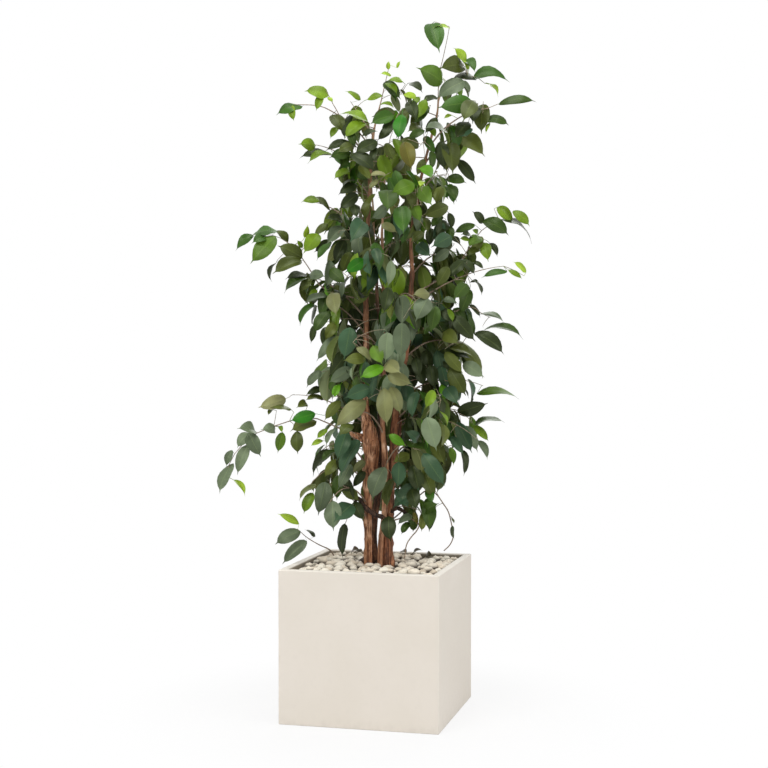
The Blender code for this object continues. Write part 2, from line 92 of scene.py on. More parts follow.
# A leaf set one by one that starts further from any twig has a sprig of its own.
LONGEST_STALK = 0.026
# Its tip is nearer to the viewer than its foot by TIP_NEARER. Where its length is seen as less than
# SEEN_ASPECT times its width, the tip is nearer still, by no more than MOST_NEARER.
TIP_NEARER = 0.006
SEEN_ASPECT = 1.55
MOST_NEARER = 0.050
# Shares of a twig where its leaves start and where they are young, and of the young ones that are bright
FIRST_LEAF = 0.16
YOUNG_FROM = 0.93
BRIGHT_YOUNG = 0.35
# The heights over which the greens change from the low to the top mixture
GREENS_CHANGE = (0.95, 1.30)

# Twigs
TWIG_SIDES = 6
TWIG_POINTS = 14
TWIG_SHARES = np.linspace(0.0, 1.0, TWIG_POINTS)[:, None]
TWIG_BASE_RADIUS = 0.0024
TWIG_TIP_RADIUS = 0.0007
TWIG_ZIGZAG = 0.0011
TWIG_CREASE = 80.0
SHOOT_TIP_RADIUS = TWIG_TIP_RADIUS * 0.8
INNER_SHOOT_RADIUS = 0.0014
SPRIG_RADIUS = 0.0009
AERIAL_RADII = (0.0019, 0.0014)
AERIAL_POINTS = 40
# Gives an upright twig a side too
NUDGE = np.array([1e-6, 0.0, 0.0])

# Stems
STEM_SIDES = 44
STEM_STEP = 0.0045
STEM_CREASE = 60.0
STEM_WAVER = 0.0009
# Number, half height and share of the radius of a stem's leaf scars
STEM_SCARS = 26
SCAR_HALF_HEIGHT = 0.0028
SCAR_SHARE = 0.085
# Height, share of the radius and reach upwards of the flare at the soil
FLARE_HEIGHT = 0.355
FLARE_SHARE = 0.06
FLARE_REACH = 0.022
# Share of the radius, number round the stem and turn with height of its ridges, and share and pace of swells
STEM_RIDGES = ((0.070, 3, 16), (0.050, 5, -9), (0.028, 9, 12), (0.020, 14, -7))
STEM_SWELLS = ((0.045, 58), (0.030, 131))
# Half height, half width in radians and rise of the collar where a branch leaves a stem
BRANCH_COLLAR = (0.011, 0.8, 0.0026)
# The cut shoot: where it starts, how far it reaches out and up, and its radius at shares of its length
STUB_HEIGHT = 0.684
STUB_OUT = 0.054
STUB_UP = 0.021
STUB_SHARES = (0.0, 0.25, 0.5, 0.68, 0.84, 0.94, 1.0)
STUB_RADII = (0.0140, 0.0122, 0.0092, 0.0072, 0.0060, 0.0048, 0.0020)
STUB_SIDES = 16
ROOT_POINTS = 36
ROOT_SIDES = 14
# A random wave starts anywhere from 0 to this.
ANY_PHASE = 6.3

# Pebbles
PEBBLE_RADIUS = 0.0132
PEBBLE_SIZES = (0.72, 1.22)
PEBBLE_JITTER = 0.34
PEBBLE_BED = 0.3630
PEBBLE_MOUND = 0.0030
PEBBLE_CLEARANCE = 0.002
PEBBLE_ROWS = 7
PEBBLE_SIDES = 10
# Pebbles a side, height above PEBBLE_BED and most that one is moved up or down, for each layer
PEBBLE_LAYERS = ((17, -0.0115, 0.0020), (14, 0.0, 0.0052))
PLANTER_WALL = 0.018
STEM_FOOT = 0.365
# The heap of soil round the stems' feet.
COLLAR_RADII = (0.046, 0.040)
COLLAR_CENTRE = (-0.020, 0.030)
COLLAR_TOP = 0.387
COLLAR_FOOT = 0.354
COLLAR_SIDES = 36
# The share of its radii that pebbles stay out of
COLLAR_BARE = 0.84

# across, behind, height and radius of each point of a stem, from its foot in the soil to its tip
STEM_POINTS = {
    "stem_1": (
        (-0.0255, -0.008, 0.300, 0.0100),
        (-0.0255, -0.008, 0.370, 0.0096),
        (-0.0252, -0.009, 0.440, 0.0094),
        (-0.0262, -0.010, 0.520, 0.0102),
        (-0.0225, -0.009, 0.590, 0.0150),
        (-0.0190, -0.008, 0.650, 0.0185),
        (-0.0225, -0.007, 0.705, 0.0175),
        (-0.0300, -0.006, 0.745, 0.0115),
        (-0.0335, -0.006, 0.785, 0.0085),
        (-0.0310, -0.002, 0.960, 0.0066),
        (-0.0290, 0.002, 1.150, 0.0052),
        (-0.0215, 0.004, 1.315, 0.0038),
        (-0.0130, 0.002, 1.450, 0.0026),
        (0.0050, -0.006, 1.530, 0.0014),
        (0.0140, -0.012, 1.572, 0.0008),
    ),
    "stem_2": (
        (-0.0100, 0.012, 0.300, 0.0090),
        (-0.0100, 0.012, 0.370, 0.0086),
        (-0.0108, 0.014, 0.430, 0.0076),
        (-0.0080, 0.018, 0.500, 0.0084),
        (0.0040, 0.028, 0.580, 0.0080),
        (0.0040, 0.036, 0.720, 0.0062),
        (0.0040, 0.048, 0.900, 0.0048),
        (-0.0060, 0.058, 1.110, 0.0036),
        (-0.0180, 0.068, 1.340, 0.0016),
    ),
    "stem_3": (
        (0.0048, -0.012, 0.300, 0.0082),
        (0.0048, -0.012, 0.370, 0.0076),
        (0.0066, -0.012, 0.430, 0.0068),
        (0.0150, -0.016, 0.515, 0.0072),
        (0.0170, -0.018, 0.600, 0.0078),
        (0.0150, -0.024, 0.660, 0.0072),
        (0.0120, -0.030, 0.740, 0.0056),
        (0.0160, -0.040, 0.960, 0.0044),
        (0.0100, -0.040, 1.200, 0.0030),
        (0.0220, -0.036, 1.420, 0.0012),
    ),
    "stem_4": (
        (0.0246, 0.000, 0.300, 0.0140),
        (0.0244, 0.000, 0.370, 0.0136),
        (0.0238, 0.002, 0.440, 0.0128),
        (0.0290, 0.003, 0.530, 0.0118),
        (0.0345, 0.003, 0.620, 0.0112),
        (0.0420, 0.003, 0.700, 0.0122),
        (0.0490, 0.001, 0.785, 0.0096),
        (0.0720, -0.002, 0.930, 0.0068),
        (0.0830, 0.001, 1.080, 0.0054),
        (0.0850, 0.003, 1.215, 0.0042),
        (0.1200, 0.001, 1.400, 0.0032),
        (0.1470, 0.000, 1.500, 0.0026),
        (0.1500, 0.000, 1.550, 0.0016),
    ),
}

# stem, height, direction in degrees from across towards behind, rise, half height and half width in radians
# of each knob and hollow of the stems
STEM_KNOBS = (
    ("stem_1", 0.655, -60.0, 0.0042, 0.013, 0.50),
    ("stem_1", 0.632, -105.0, -0.0040, 0.010, 0.40),
    ("stem_1", 0.690, -70.0, -0.0044, 0.012, 0.35),
    ("stem_1", 0.712, -110.0, 0.0036, 0.016, 0.45),
    ("stem_1", 0.728, -60.0, 0.0030, 0.012, 0.50),
    ("stem_1", 0.600, -70.0, 0.0032, 0.014, 0.45),
    ("stem_1", 0.570, -120.0, 0.0024, 0.012, 0.50),
    ("stem_1", 0.745, -150.0, 0.0030, 0.010, 0.60),
    ("stem_1", 0.668, -140.0, 0.0026, 0.020, 0.40),
    ("stem_3", 0.500, -90.0, 0.0022, 0.014, 0.60),
    ("stem_3", 0.610, -50.0, 0.0022, 0.012, 0.60),
    ("stem_4", 0.500, -60.0, 0.0030, 0.016, 0.50),
    ("stem_4", 0.425, -10.0, 0.0052, 0.008, 0.40),
    ("stem_4", 0.376, -30.0, 0.0036, 0.014, 0.70),
    ("stem_4", 0.640, -100.0, 0.0026, 0.014, 0.60),
)

# The thick dark roots that cross the stems: across, behind, height and radius of each point
CROSSING_ROOTS = (
    (
        (-0.0640, -0.010, 0.520, 0.0030),
        (-0.0510, -0.020, 0.539, 0.0052),
        (-0.0330, -0.026, 0.517, 0.0062),
        (-0.0090, -0.029, 0.500, 0.0060),
        (0.0080, -0.027, 0.494, 0.0056),
        (0.0240, -0.018, 0.482, 0.0038),
    ),
    (
        (0.0300, -0.006, 0.500, 0.0040),
        (0.0440, -0.016, 0.514, 0.0052),
        (0.0600, -0.016, 0.509, 0.0046),
        (0.0740, -0.012, 0.497, 0.0034),
        (0.0860, -0.006, 0.486, 0.0020),
    ),
)

Branch = namedtuple("Branch", "name stem start across behind height arch shoots leaf_size")
# A branch leaves its stem at the height start and ends at across, behind and height. It arches above the
# straight line by arch, carries that many side shoots, and leaf_size is a share of BLADE_LENGTH. The groups
# give what follows the stem in each row, from the top branch of a side down.
BRANCHES = [
    Branch("branch_apex", "stem_4", 1.557, 0.148, -0.005, 1.722, 0.000, 0, 0.80),
    Branch("branch_crown", "stem_1", 1.500, 0.030, -0.020, 1.635, 0.000, 1, 0.62),
]
BRANCH_GROUPS = (
    ("right", "stem_4", (
        (1.548, 0.262, 0.030, 1.610, 0.035, 1, 0.85),
        (1.420, 0.318, -0.030, 1.540, 0.020, 2, 0.85),
        (1.380, 0.225, 0.070, 1.465, 0.020, 2, 0.90),
        (1.290, 0.205, -0.070, 1.375, 0.030, 2, 0.95),
        (1.050, 0.335, 0.040, 1.245, 0.030, 2, 1.00),
        (1.020, 0.310, -0.060, 1.120, 0.020, 2, 0.95),
        (1.100, 0.215, 0.120, 1.160, 0.030, 2, 1.00),
        (0.940, 0.300, -0.020, 0.965, 0.045, 2, 1.00),
        (0.890, 0.235, 0.090, 0.895, 0.045, 2, 1.00),
        (0.790, 0.280, 0.020, 0.815, 0.035, 2, 1.00),
        (0.735, 0.235, -0.100, 0.775, 0.045, 2, 1.00),
        (0.710, 0.250, 0.100, 0.735, 0.040, 2, 1.00),
        (0.685, 0.245, -0.040, 0.690, 0.050, 2, 1.00),
        (0.640, 0.190, 0.060, 0.635, 0.050, 2, 1.00),
        (0.580, 0.160, -0.050, 0.530, 0.050, 1, 0.95),
    )),
    ("left", "stem_1", (
        (1.420, -0.225, 0.020, 1.540, 0.045, 1, 0.75),
        (1.380, -0.130, -0.060, 1.555, -0.010, 1, 0.75),
        (1.450, -0.080, 0.060, 1.560, 0.000, 1, 0.75),
        (1.340, -0.185, -0.030, 1.425, 0.025, 2, 0.85),
        (1.300, -0.105, 0.100, 1.360, 0.020, 2, 0.90),
        (1.190, -0.170, 0.050, 1.290, 0.020, 2, 0.95),
        (1.040, -0.325, -0.020, 1.215, 0.030, 3, 1.00),
        (0.990, -0.215, 0.070, 1.105, 0.030, 2, 1.00),
        (0.950, -0.185, -0.080, 1.020, 0.040, 2, 1.00),
        (0.905, -0.165, 0.110, 0.945, 0.045, 2, 1.00),
        (0.800, -0.165, -0.050, 0.845, 0.035, 2, 1.00),
        (0.660, -0.375, -0.060, 0.640, 0.095, 2, 0.85),
        (0.720, -0.270, 0.040, 0.790, 0.035, 2, 0.85),
        (0.610, -0.160, 0.060, 0.640, 0.050, 2, 1.00),
        (0.570, -0.175, -0.030, 0.570, 0.050, 2, 1.00),
        (0.520, -0.130, -0.110, 0.520, 0.050, 2, 1.05),
        (0.400, -0.225, -0.020, 0.455, 0.030, 0, 0.85),
        (0.480, -0.085, -0.075, 0.475, 0.040, 0, 0.95),
    )),
    ("front", "stem_3", (
        (1.400, 0.060, -0.120, 1.500, 0.020, 2, 0.85),
        (1.280, -0.050, -0.150, 1.380, 0.030, 2, 0.95),
        (1.180, 0.110, -0.160, 1.260, 0.030, 2, 1.00),
        (1.080, -0.020, -0.190, 1.150, 0.030, 2, 1.00),
        (0.980, 0.090, -0.200, 1.030, 0.040, 2, 1.00),
        (0.880, -0.060, -0.200, 0.930, 0.040, 2, 1.00),
        (0.790, 0.060, -0.200, 0.820, 0.040, 2, 1.00),
        (0.700, -0.080, -0.170, 0.720, 0.050, 2, 1.00),
        (0.620, 0.110, -0.160, 0.640, 0.050, 2, 1.00),
    )),
    ("back", "stem_2", (
        (1.325, 0.000, 0.150, 1.440, 0.020, 2, 0.90),
        (1.220, -0.100, 0.190, 1.300, 0.020, 2, 1.00),
        (1.120, 0.090, 0.200, 1.210, 0.030, 2, 1.00),
        (1.010, -0.070, 0.220, 1.080, 0.030, 2, 1.00),
        (0.900, 0.100, 0.220, 0.960, 0.040, 2, 1.00),
        (0.790, -0.080, 0.220, 0.840, 0.040, 2, 1.00),
        (0.690, 0.070, 0.220, 0.730, 0.040, 2, 1.00),
        (0.580, -0.070, 0.180, 0.600, 0.050, 2, 1.00),
    )),
)
for side, stem, rows in BRANCH_GROUPS:
    BRANCHES += [Branch(f"branch_{side}_{number:02d}", stem, *row) for number, row in enumerate(rows, 1)]

# The short leafy shoots of each stem: the heights they lie between and their number
INNER_SHOOTS = (
    ("stem_1", 0.50, 1.50, 26),
    ("stem_4", 0.50, 1.53, 26),
    ("stem_2", 0.50, 1.32, 18),
    ("stem_3", 0.72, 1.40, 18),
)

# across, behind and height of each point of the two bare aerial twigs
AERIAL_TWIGS = (
    (
        (0.020, 0.006, 0.470),
        (0.080, 0.020, 0.520),
        (0.120, 0.020, 0.555),
        (0.145, 0.020, 0.548),
        (0.166, 0.020, 0.520),
        (0.178, 0.020, 0.500),
        (0.186, 0.020, 0.468),
        (0.190, 0.020, 0.440),
        (0.182, 0.020, 0.418),
        (0.166, 0.020, 0.402),
    ),
    (
        (0.030, -0.004, 0.480),
        (0.070, -0.030, 0.492),
        (0.100, -0.040, 0.478),
        (0.096, -0.046, 0.462),
        (0.082, -0.050, 0.446),
        (0.070, -0.052, 0.426),
        (0.065, -0.052, 0.392),
    ),
)

# Twigs that follow a route of their own, as across, behind and height of each point
ROUTES = {
    "branch_apex": (
        (0.150, 0.000, 1.547),
        (0.152, -0.002, 1.600),
        (0.161, -0.004, 1.640),
        (0.171, -0.005, 1.685),
        (0.178, -0.006, 1.722),
    ),
    "branch_right_01": (
        (0.149, 0.000, 1.538),
        (0.168, 0.004, 1.576),
        (0.205, 0.012, 1.600),
        (0.245, 0.022, 1.602),
        (0.270, 0.026, 1.586),
    ),
    "branch_right_02": (
        (0.125, 0.001, 1.420),
        (0.168, -0.010, 1.470),
        (0.225, -0.020, 1.505),
        (0.270, -0.025, 1.515),
        (0.300, -0.030, 1.526),
    ),
    "branch_right_05": (
        (0.081, 0.001, 1.050),
        (0.140, 0.010, 1.082),
        (0.194, 0.020, 1.118),
        (0.232, 0.030, 1.175),
        (0.269, 0.035, 1.222),
        (0.333, 0.040, 1.252),
    ),
    "branch_right_08": (
        (0.073, -0.002, 0.940),
        (0.150, -0.010, 0.990),
        (0.228, -0.015, 1.020),
        (0.260, -0.020, 1.003),
        (0.310, -0.020, 0.982),
    ),
    "branch_left_01": (
        (-0.017, 0.003, 1.420),
        (-0.067, 0.010, 1.481),
        (-0.110, 0.014, 1.510),
        (-0.148, 0.016, 1.528),
        (-0.195, 0.020, 1.532),
        (-0.212, 0.020, 1.532),
    ),
    "branch_left_07": (
        (-0.030, 0.000, 1.040),
        (-0.085, -0.005, 1.048),
        (-0.136, -0.010, 1.066),
        (-0.157, -0.012, 1.089),
        (-0.172, -0.015, 1.114),
        (-0.189, -0.018, 1.139),
        (-0.209, -0.020, 1.168),
        (-0.254, -0.020, 1.197),
        (-0.285, -0.020, 1.200),
    ),
    "branch_left_12": (
        (-0.026, -0.008, 0.660),
        (-0.070, -0.020, 0.698),
        (-0.110, -0.030, 0.722),
        (-0.173, -0.040, 0.745),
        (-0.237, -0.050, 0.730),
        (-0.312, -0.055, 0.700),
        (-0.360, -0.060, 0.650),
        (-0.380, -0.060, 0.600),
    ),
    "branch_left_17": (
        (-0.112, 0.165, 0.352),
        (-0.120, 0.140, 0.378),
        (-0.130, 0.100, 0.396),
        (-0.150, 0.040, 0.414),
        (-0.180, 0.000, 0.438),
        (-0.203, -0.020, 0.462),
    ),
}

# The foliage's outline from the front: height, and how far it reaches across to the left and to the right
CROWN = (
    (0.430, -0.100, 0.060),
    (0.470, -0.140, 0.120),
    (0.520, -0.170, 0.140),
    (0.570, -0.165, 0.145),
    (0.610, -0.145, 0.170),
    (0.680, -0.140, 0.230),
    (0.780, -0.140, 0.250),
    (0.840, -0.160, 0.235),
    (0.940, -0.155, 0.250),
    (1.020, -0.175, 0.235),
    (1.120, -0.175, 0.225),
    (1.180, -0.155, 0.225),
    (1.240, -0.110, 0.195),
    (1.300, -0.085, 0.170),
    (1.350, -0.085, 0.180),
    (1.400, -0.075, 0.200),
    (1.450, -0.055, 0.235),
    (1.530, -0.045, 0.250),
    (1.590, 0.020, 0.200),
    (1.630, 0.120, 0.160),
)
# A grown leaf may pass the outline by the first, and be deeper than half the crown's width by the second.
CROWN_MARGIN = 0.012
CROWN_DEEPER = 0.05
# The trunks show between these two places across, up to a height. Shoots in front of STEM_FRONT and leaves in
# front of TRUNKS_BACK stay out of that window.
TRUNK_WINDOW = (-0.045, 0.045)
TRUNK_WINDOW_TOP = 0.77
STEM_FRONT = -0.012
TRUNKS_BACK = 0.03
# A grown leaf hides a listed leaf if it is this near to it as seen, and not this far behind it.
HIDING_REACH = 0.018
HIDING_DEPTH = 0.006
# A leaf or a shoot is on a twig if it starts this near to one of the places at these shares of the twig. A
# twig that holds nothing past the first HELD_FROM places is left out.
TWIG_GRIP = 0.004
GRIP_SHARES = np.linspace(0.0, 1.0, 80)
HELD_FROM = 4
# Places where the crown is open: across, height, half the width, half the height, and how far back it is
# open. The first three show a stem, and the others the light behind the plant.
OPENINGS = (
    (-0.034, 0.957, 0.032, 0.052, 0.03),
    (0.085, 1.110, 0.026, 0.090, 0.03),
    (-0.064, 0.700, 0.022, 0.042, 0.03),
    (-0.050, 0.556, 0.024, 0.032, 1.00),
    (-0.078, 0.582, 0.016, 0.024, 1.00),
    (0.106, 1.400, 0.020, 0.028, 1.00),
    (-0.054, 1.266, 0.018, 0.024, 1.00),
    (0.005, 1.223, 0.018, 0.024, 1.00),
    (-0.017, 1.410, 0.020, 0.018, 1.00),
    (0.120, 1.150, 0.020, 0.016, 1.00),
    (-0.085, 0.466, 0.018, 0.026, 1.00),
    (-0.123, 0.742, 0.020, 0.030, 1.00),
    (-0.150, 0.917, 0.018, 0.035, 1.00),
    (-0.094, 1.277, 0.012, 0.030, 1.00),
    (-0.151, 0.843, 0.016, 0.018, 1.00),
)

GREENS = {
    "deep": (46, 57, 29),
    "green": (61, 86, 31),
    "leaf": (60, 100, 30),
    "moss": (79, 89, 37),
    "olive": (102, 112, 48),
    "spring": (90, 124, 34),
    # Painted sheen: khaki, straw, grey and silver are partly the leaves' own paler greens and partly the
    # sheen of leaves that catch the light, painted into their colour.
    "khaki_and_sheen": (130, 132, 86),
    "straw_highlight": (154, 154, 106),
    "grey": (100, 114, 88),
    "silver": (126, 142, 110),
    "teal": (62, 92, 66),
    "lime": (102, 132, 28),
    "fresh": (122, 154, 38),
    "bright": (98, 158, 28),
    "vivid": (46, 122, 24),
    "young": (166, 198, 60),
    # Painted glow: amber stands for leaves lit through from behind.
    "amber_glow": (104, 98, 40),
    "dry": (76, 60, 44),
}
# The mixtures of the grown leaves, low and at the top of the plant
LOW_GREENS = "deep deep green green teal teal moss grey grey olive silver leaf".split()
TOP_GREENS = "deep green green moss lime lime olive leaf grey fresh leaf moss".split()

# Pale, middle, dark and young red shade of each bark
BARKS = {
    "pale_bark": ((240, 192, 156), (192, 134, 96), (92, 56, 36), (150, 112, 88)),
    "brown_bark": ((206, 146, 108), (154, 100, 70), (74, 44, 30), (126, 94, 72)),
    "dark_bark": ((104, 76, 58), (66, 46, 34), (30, 20, 16), (100, 74, 60)),
    "shaded_bark": ((166, 124, 94), (112, 80, 60), (48, 34, 26), (130, 100, 80)),
}
# The bark and the slot of each stem
STEM_BARKS = {
    "stem_1": ("pale_bark", "bark"),
    "stem_2": ("shaded_bark", "dark_bark"),
    "stem_3": ("pale_bark", "bark"),
    "stem_4": ("brown_bark", "bark"),
}

# Leaves set one by one, by branch, on the places where they are seen from in front of the plant. A row gives
# across and height of the blade's foot and of its tip, how far behind it is, its width, how much of its face
# it shows, and its green.
SET_LEAVES = {}
SET_LEAVES["branch_apex"] = (
    (0.133, 1.737, 0.152, 1.668, -0.006, 0.054, 1.00, "leaf"),
    (0.179, 1.722, 0.139, 1.724, -0.012, 0.013, 0.50, "young"),
    (0.163, 1.585, 0.101, 1.620, -0.015, 0.054, 0.90, "spring"),
)
SET_LEAVES["branch_right_01"] = (
    (0.222, 1.635, 0.191, 1.670, 0.010, 0.022, 0.60, "young"),
    (0.218, 1.630, 0.158, 1.622, 0.020, 0.050, 0.75, "moss"),
    (0.216, 1.646, 0.242, 1.615, 0.015, 0.034, 0.80, "leaf"),
    (0.228, 1.618, 0.212, 1.640, -0.005, 0.014, 0.60, "young"),
    (0.238, 1.604, 0.325, 1.595, 0.025, 0.047, 0.50, "leaf"),
    (0.246, 1.595, 0.187, 1.595, 0.020, 0.026, 0.40, "deep"),
    (0.216, 1.590, 0.149, 1.548, -0.020, 0.050, 0.75, "grey"),
    (0.214, 1.590, 0.229, 1.558, -0.010, 0.016, 0.60, "grey"),
    (0.272, 1.586, 0.302, 1.554, 0.020, 0.012, 0.60, "young"),
    (0.221, 1.630, 0.225, 1.616, 0.000, 0.009, 0.60, "young"),
)
SET_LEAVES["branch_right_02"] = (
    (0.262, 1.532, 0.258, 1.461, -0.010, 0.046, 0.85, "moss"),
    (0.242, 1.530, 0.237, 1.485, -0.004, 0.038, 0.75, "deep"),
    (0.302, 1.534, 0.391, 1.539, -0.030, 0.024, 0.40, "green"),
    (0.270, 1.493, 0.325, 1.481, -0.020, 0.035, 0.45, "green"),
    (0.279, 1.484, 0.270, 1.458, -0.020, 0.009, 0.50, "young"),
    (0.237, 1.534, 0.153, 1.522, -0.050, 0.054, 0.85, "leaf"),
    (0.240, 1.542, 0.214, 1.490, -0.055, 0.046, 0.80, "moss"),
)
SET_LEAVES["branch_right_03"] = (
    (0.227, 1.487, 0.194, 1.448, 0.004, 0.037, 0.80, "deep"),
    (0.236, 1.470, 0.201, 1.448, -0.012, 0.022, 0.60, "teal"),
    (0.131, 1.474, 0.143, 1.448, -0.020, 0.018, 0.60, "lime"),
    (0.115, 1.450, 0.142, 1.406, -0.030, 0.024, 0.70, "leaf"),
    (0.156, 1.438, 0.165, 1.368, -0.020, 0.040, 0.85, "deep"),
    (0.184, 1.504, 0.165, 1.495, -0.010, 0.009, 0.60, "young"),
    (0.206, 1.453, 0.265, 1.405, 0.050, 0.050, 0.80, "olive"),
    (0.173, 1.465, 0.121, 1.473, -0.060, 0.043, 0.60, "grey"),
    (0.179, 1.437, 0.187, 1.360, -0.010, 0.052, 0.85, "moss"),
    (0.200, 1.391, 0.243, 1.334, 0.030, 0.032, 0.60, "deep"),
    (0.169, 1.344, 0.219, 1.336, -0.010, 0.032, 0.50, "green"),
    (0.173, 1.330, 0.196, 1.292, -0.020, 0.032, 0.60, "green"),
)
SET_LEAVES["branch_crown"] = (
    (0.104, 1.480, 0.076, 1.464, -0.040, 0.028, 0.75, "moss"),
    (0.102, 1.424, 0.054, 1.441, -0.060, 0.030, 0.70, "moss"),
    (0.014, 1.586, 0.055, 1.546, -0.020, 0.036, 0.80, "green"),
    (0.032, 1.603, 0.007, 1.607, -0.020, 0.014, 0.60, "young"),
    (0.024, 1.617, 0.026, 1.637, -0.020, 0.012, 0.60, "young"),
    (0.046, 1.621, 0.054, 1.637, -0.020, 0.010, 0.60, "young"),
    (0.062, 1.588, 0.025, 1.590, -0.030, 0.016, 0.50, "fresh"),
    (0.081, 1.586, 0.109, 1.562, -0.020, 0.028, 0.80, "deep"),
    (0.147, 1.549, 0.113, 1.538, -0.030, 0.024, 0.80, "deep"),
    (0.095, 1.548, 0.063, 1.554, -0.050, 0.018, 0.60, "young"),
    (0.075, 1.540, 0.095, 1.494, -0.050, 0.034, 0.80, "deep"),
    (0.119, 1.542, 0.099, 1.494, -0.060, 0.028, 0.70, "lime"),
    (0.038, 1.526, 0.005, 1.530, -0.050, 0.022, 0.60, "fresh"),
    (0.038, 1.504, -0.018, 1.484, -0.080, 0.038, 0.80, "leaf"),
    (0.102, 1.549, 0.087, 1.527, -0.045, 0.018, 0.70, "lime"),
    (0.019, 1.585, 0.047, 1.557, -0.035, 0.016, 0.60, "lime"),
    (0.037, 1.494, 0.014, 1.448, -0.075, 0.033, 0.80, "deep"),
    (-0.006, 1.423, -0.019, 1.382, -0.090, 0.020, 0.80, "deep"),
    (0.135, 1.413, 0.133, 1.367, -0.050, 0.023, 0.80, "green"),
    (0.042, 1.511, -0.014, 1.499, -0.060, 0.033, 0.85, "moss"),
    (0.034, 1.476, -0.001, 1.441, -0.050, 0.025, 0.80, "deep"),
    (0.019, 1.433, 0.037, 1.390, -0.060, 0.028, 0.80, "moss"),
    (0.125, 1.527, 0.090, 1.484, -0.050, 0.030, 0.85, "green"),
    (0.148, 1.496, 0.118, 1.458, -0.040, 0.025, 0.80, "deep"),
    (0.115, 1.466, 0.075, 1.443, -0.070, 0.023, 0.70, "green"),
    (0.115, 1.393, 0.097, 1.352, -0.070, 0.023, 0.80, "moss"),
)
SET_LEAVES["branch_front_01"] = (
    (0.059, 1.505, 0.049, 1.443, -0.130, 0.038, 0.95, "vivid"),
    (0.066, 1.437, 0.083, 1.369, -0.130, 0.042, 0.85, "amber_glow"),
    (0.141, 1.357, 0.103, 1.369, -0.140, 0.032, 0.80, "bright"),
    (0.110, 1.339, 0.105, 1.324, -0.150, 0.018, 0.80, "young"),
    (0.091, 1.332, 0.034, 1.308, -0.140, 0.042, 0.85, "spring"),
)
SET_LEAVES["branch_left_01"] = (
    (-0.192, 1.527, -0.254, 1.506, 0.020, 0.030, 0.45, "leaf"),
    (-0.218, 1.527, -0.214, 1.490, 0.010, 0.020, 0.70, "fresh"),
)
SET_LEAVES["branch_left_02"] = (
    (-0.125, 1.554, -0.182, 1.564, -0.060, 0.034, 0.45, "fresh"),
    (-0.143, 1.554, -0.156, 1.516, -0.060, 0.022, 0.60, "fresh"),
    (-0.127, 1.548, -0.115, 1.536, -0.060, 0.010, 0.60, "young"),
)
SET_LEAVES["branch_left_03"] = (
    (-0.044, 1.542, -0.080, 1.562, 0.050, 0.018, 0.50, "fresh"),
    (-0.028, 1.544, 0.013, 1.550, 0.040, 0.020, 0.45, "fresh"),
)
SET_LEAVES["branch_left_04"] = (
    (-0.025, 1.491, -0.095, 1.509, -0.060, 0.030, 0.55, "fresh"),
    (-0.117, 1.506, -0.087, 1.461, -0.040, 0.036, 0.70, "moss"),
    (-0.034, 1.486, -0.084, 1.449, -0.070, 0.030, 0.50, "fresh"),
    (-0.101, 1.473, -0.121, 1.447, -0.030, 0.020, 0.60, "fresh"),
    (-0.157, 1.427, -0.198, 1.430, -0.030, 0.034, 0.85, "fresh"),
    (-0.115, 1.407, -0.194, 1.399, -0.020, 0.018, 0.35, "deep"),
    (-0.117, 1.409, -0.176, 1.389, -0.035, 0.022, 0.50, "fresh"),
    (-0.055, 1.429, -0.131, 1.419, -0.050, 0.026, 0.45, "deep"),
    (-0.073, 1.461, -0.059, 1.425, -0.070, 0.024, 0.60, "green"),
    (-0.061, 1.429, -0.101, 1.411, -0.075, 0.030, 0.60, "moss"),
    (-0.074, 1.365, -0.110, 1.346, -0.050, 0.022, 0.45, "fresh"),
    (-0.070, 1.506, -0.086, 1.446, -0.050, 0.025, 0.60, "deep"),
    (-0.082, 1.413, -0.095, 1.367, -0.060, 0.025, 0.70, "green"),
    (-0.062, 1.410, -0.070, 1.367, -0.065, 0.013, 0.60, "lime"),
    (-0.042, 1.453, -0.004, 1.463, -0.090, 0.015, 0.55, "deep"),
    (0.019, 1.355, -0.022, 1.352, -0.100, 0.015, 0.60, "straw_highlight"),
    (-0.049, 1.377, -0.019, 1.342, -0.100, 0.023, 0.75, "olive"),
    (-0.001, 1.342, -0.024, 1.317, -0.100, 0.015, 0.70, "khaki_and_sheen"),
)
SET_LEAVES["branch_left_05"] = (
    (-0.058, 1.342, -0.091, 1.324, -0.060, 0.011, 0.45, "deep"),
    (-0.055, 1.329, -0.099, 1.305, -0.055, 0.028, 0.60, "deep"),
    (-0.113, 1.408, -0.070, 1.372, -0.050, 0.026, 0.75, "leaf"),
    (-0.002, 1.437, -0.058, 1.409, -0.090, 0.036, 0.70, "deep"),
    (-0.069, 1.409, -0.121, 1.397, -0.070, 0.030, 0.60, "green"),
    (-0.069, 1.409, -0.010, 1.365, -0.100, 0.042, 0.80, "deep"),
)
SET_LEAVES["branch_left_06"] = (
    (-0.052, 1.305, -0.097, 1.269, -0.050, 0.034, 0.75, "deep"),
    (-0.080, 1.253, -0.093, 1.271, -0.040, 0.012, 0.60, "fresh"),
    (-0.061, 1.281, -0.055, 1.246, -0.055, 0.028, 0.70, "deep"),
    (-0.084, 1.262, -0.082, 1.210, -0.060, 0.015, 0.55, "leaf"),
    (-0.128, 1.231, -0.161, 1.200, -0.030, 0.022, 0.65, "moss"),
    (-0.159, 1.299, -0.120, 1.261, 0.040, 0.022, 0.45, "moss"),
    (-0.148, 1.290, -0.192, 1.286, 0.030, 0.020, 0.50, "fresh"),
    (-0.035, 1.241, -0.068, 1.190, -0.170, 0.050, 0.95, "teal"),
    (-0.087, 1.225, -0.129, 1.184, -0.060, 0.040, 0.80, "grey"),
    (-0.089, 1.240, -0.129, 1.245, -0.050, 0.030, 0.60, "deep"),
)
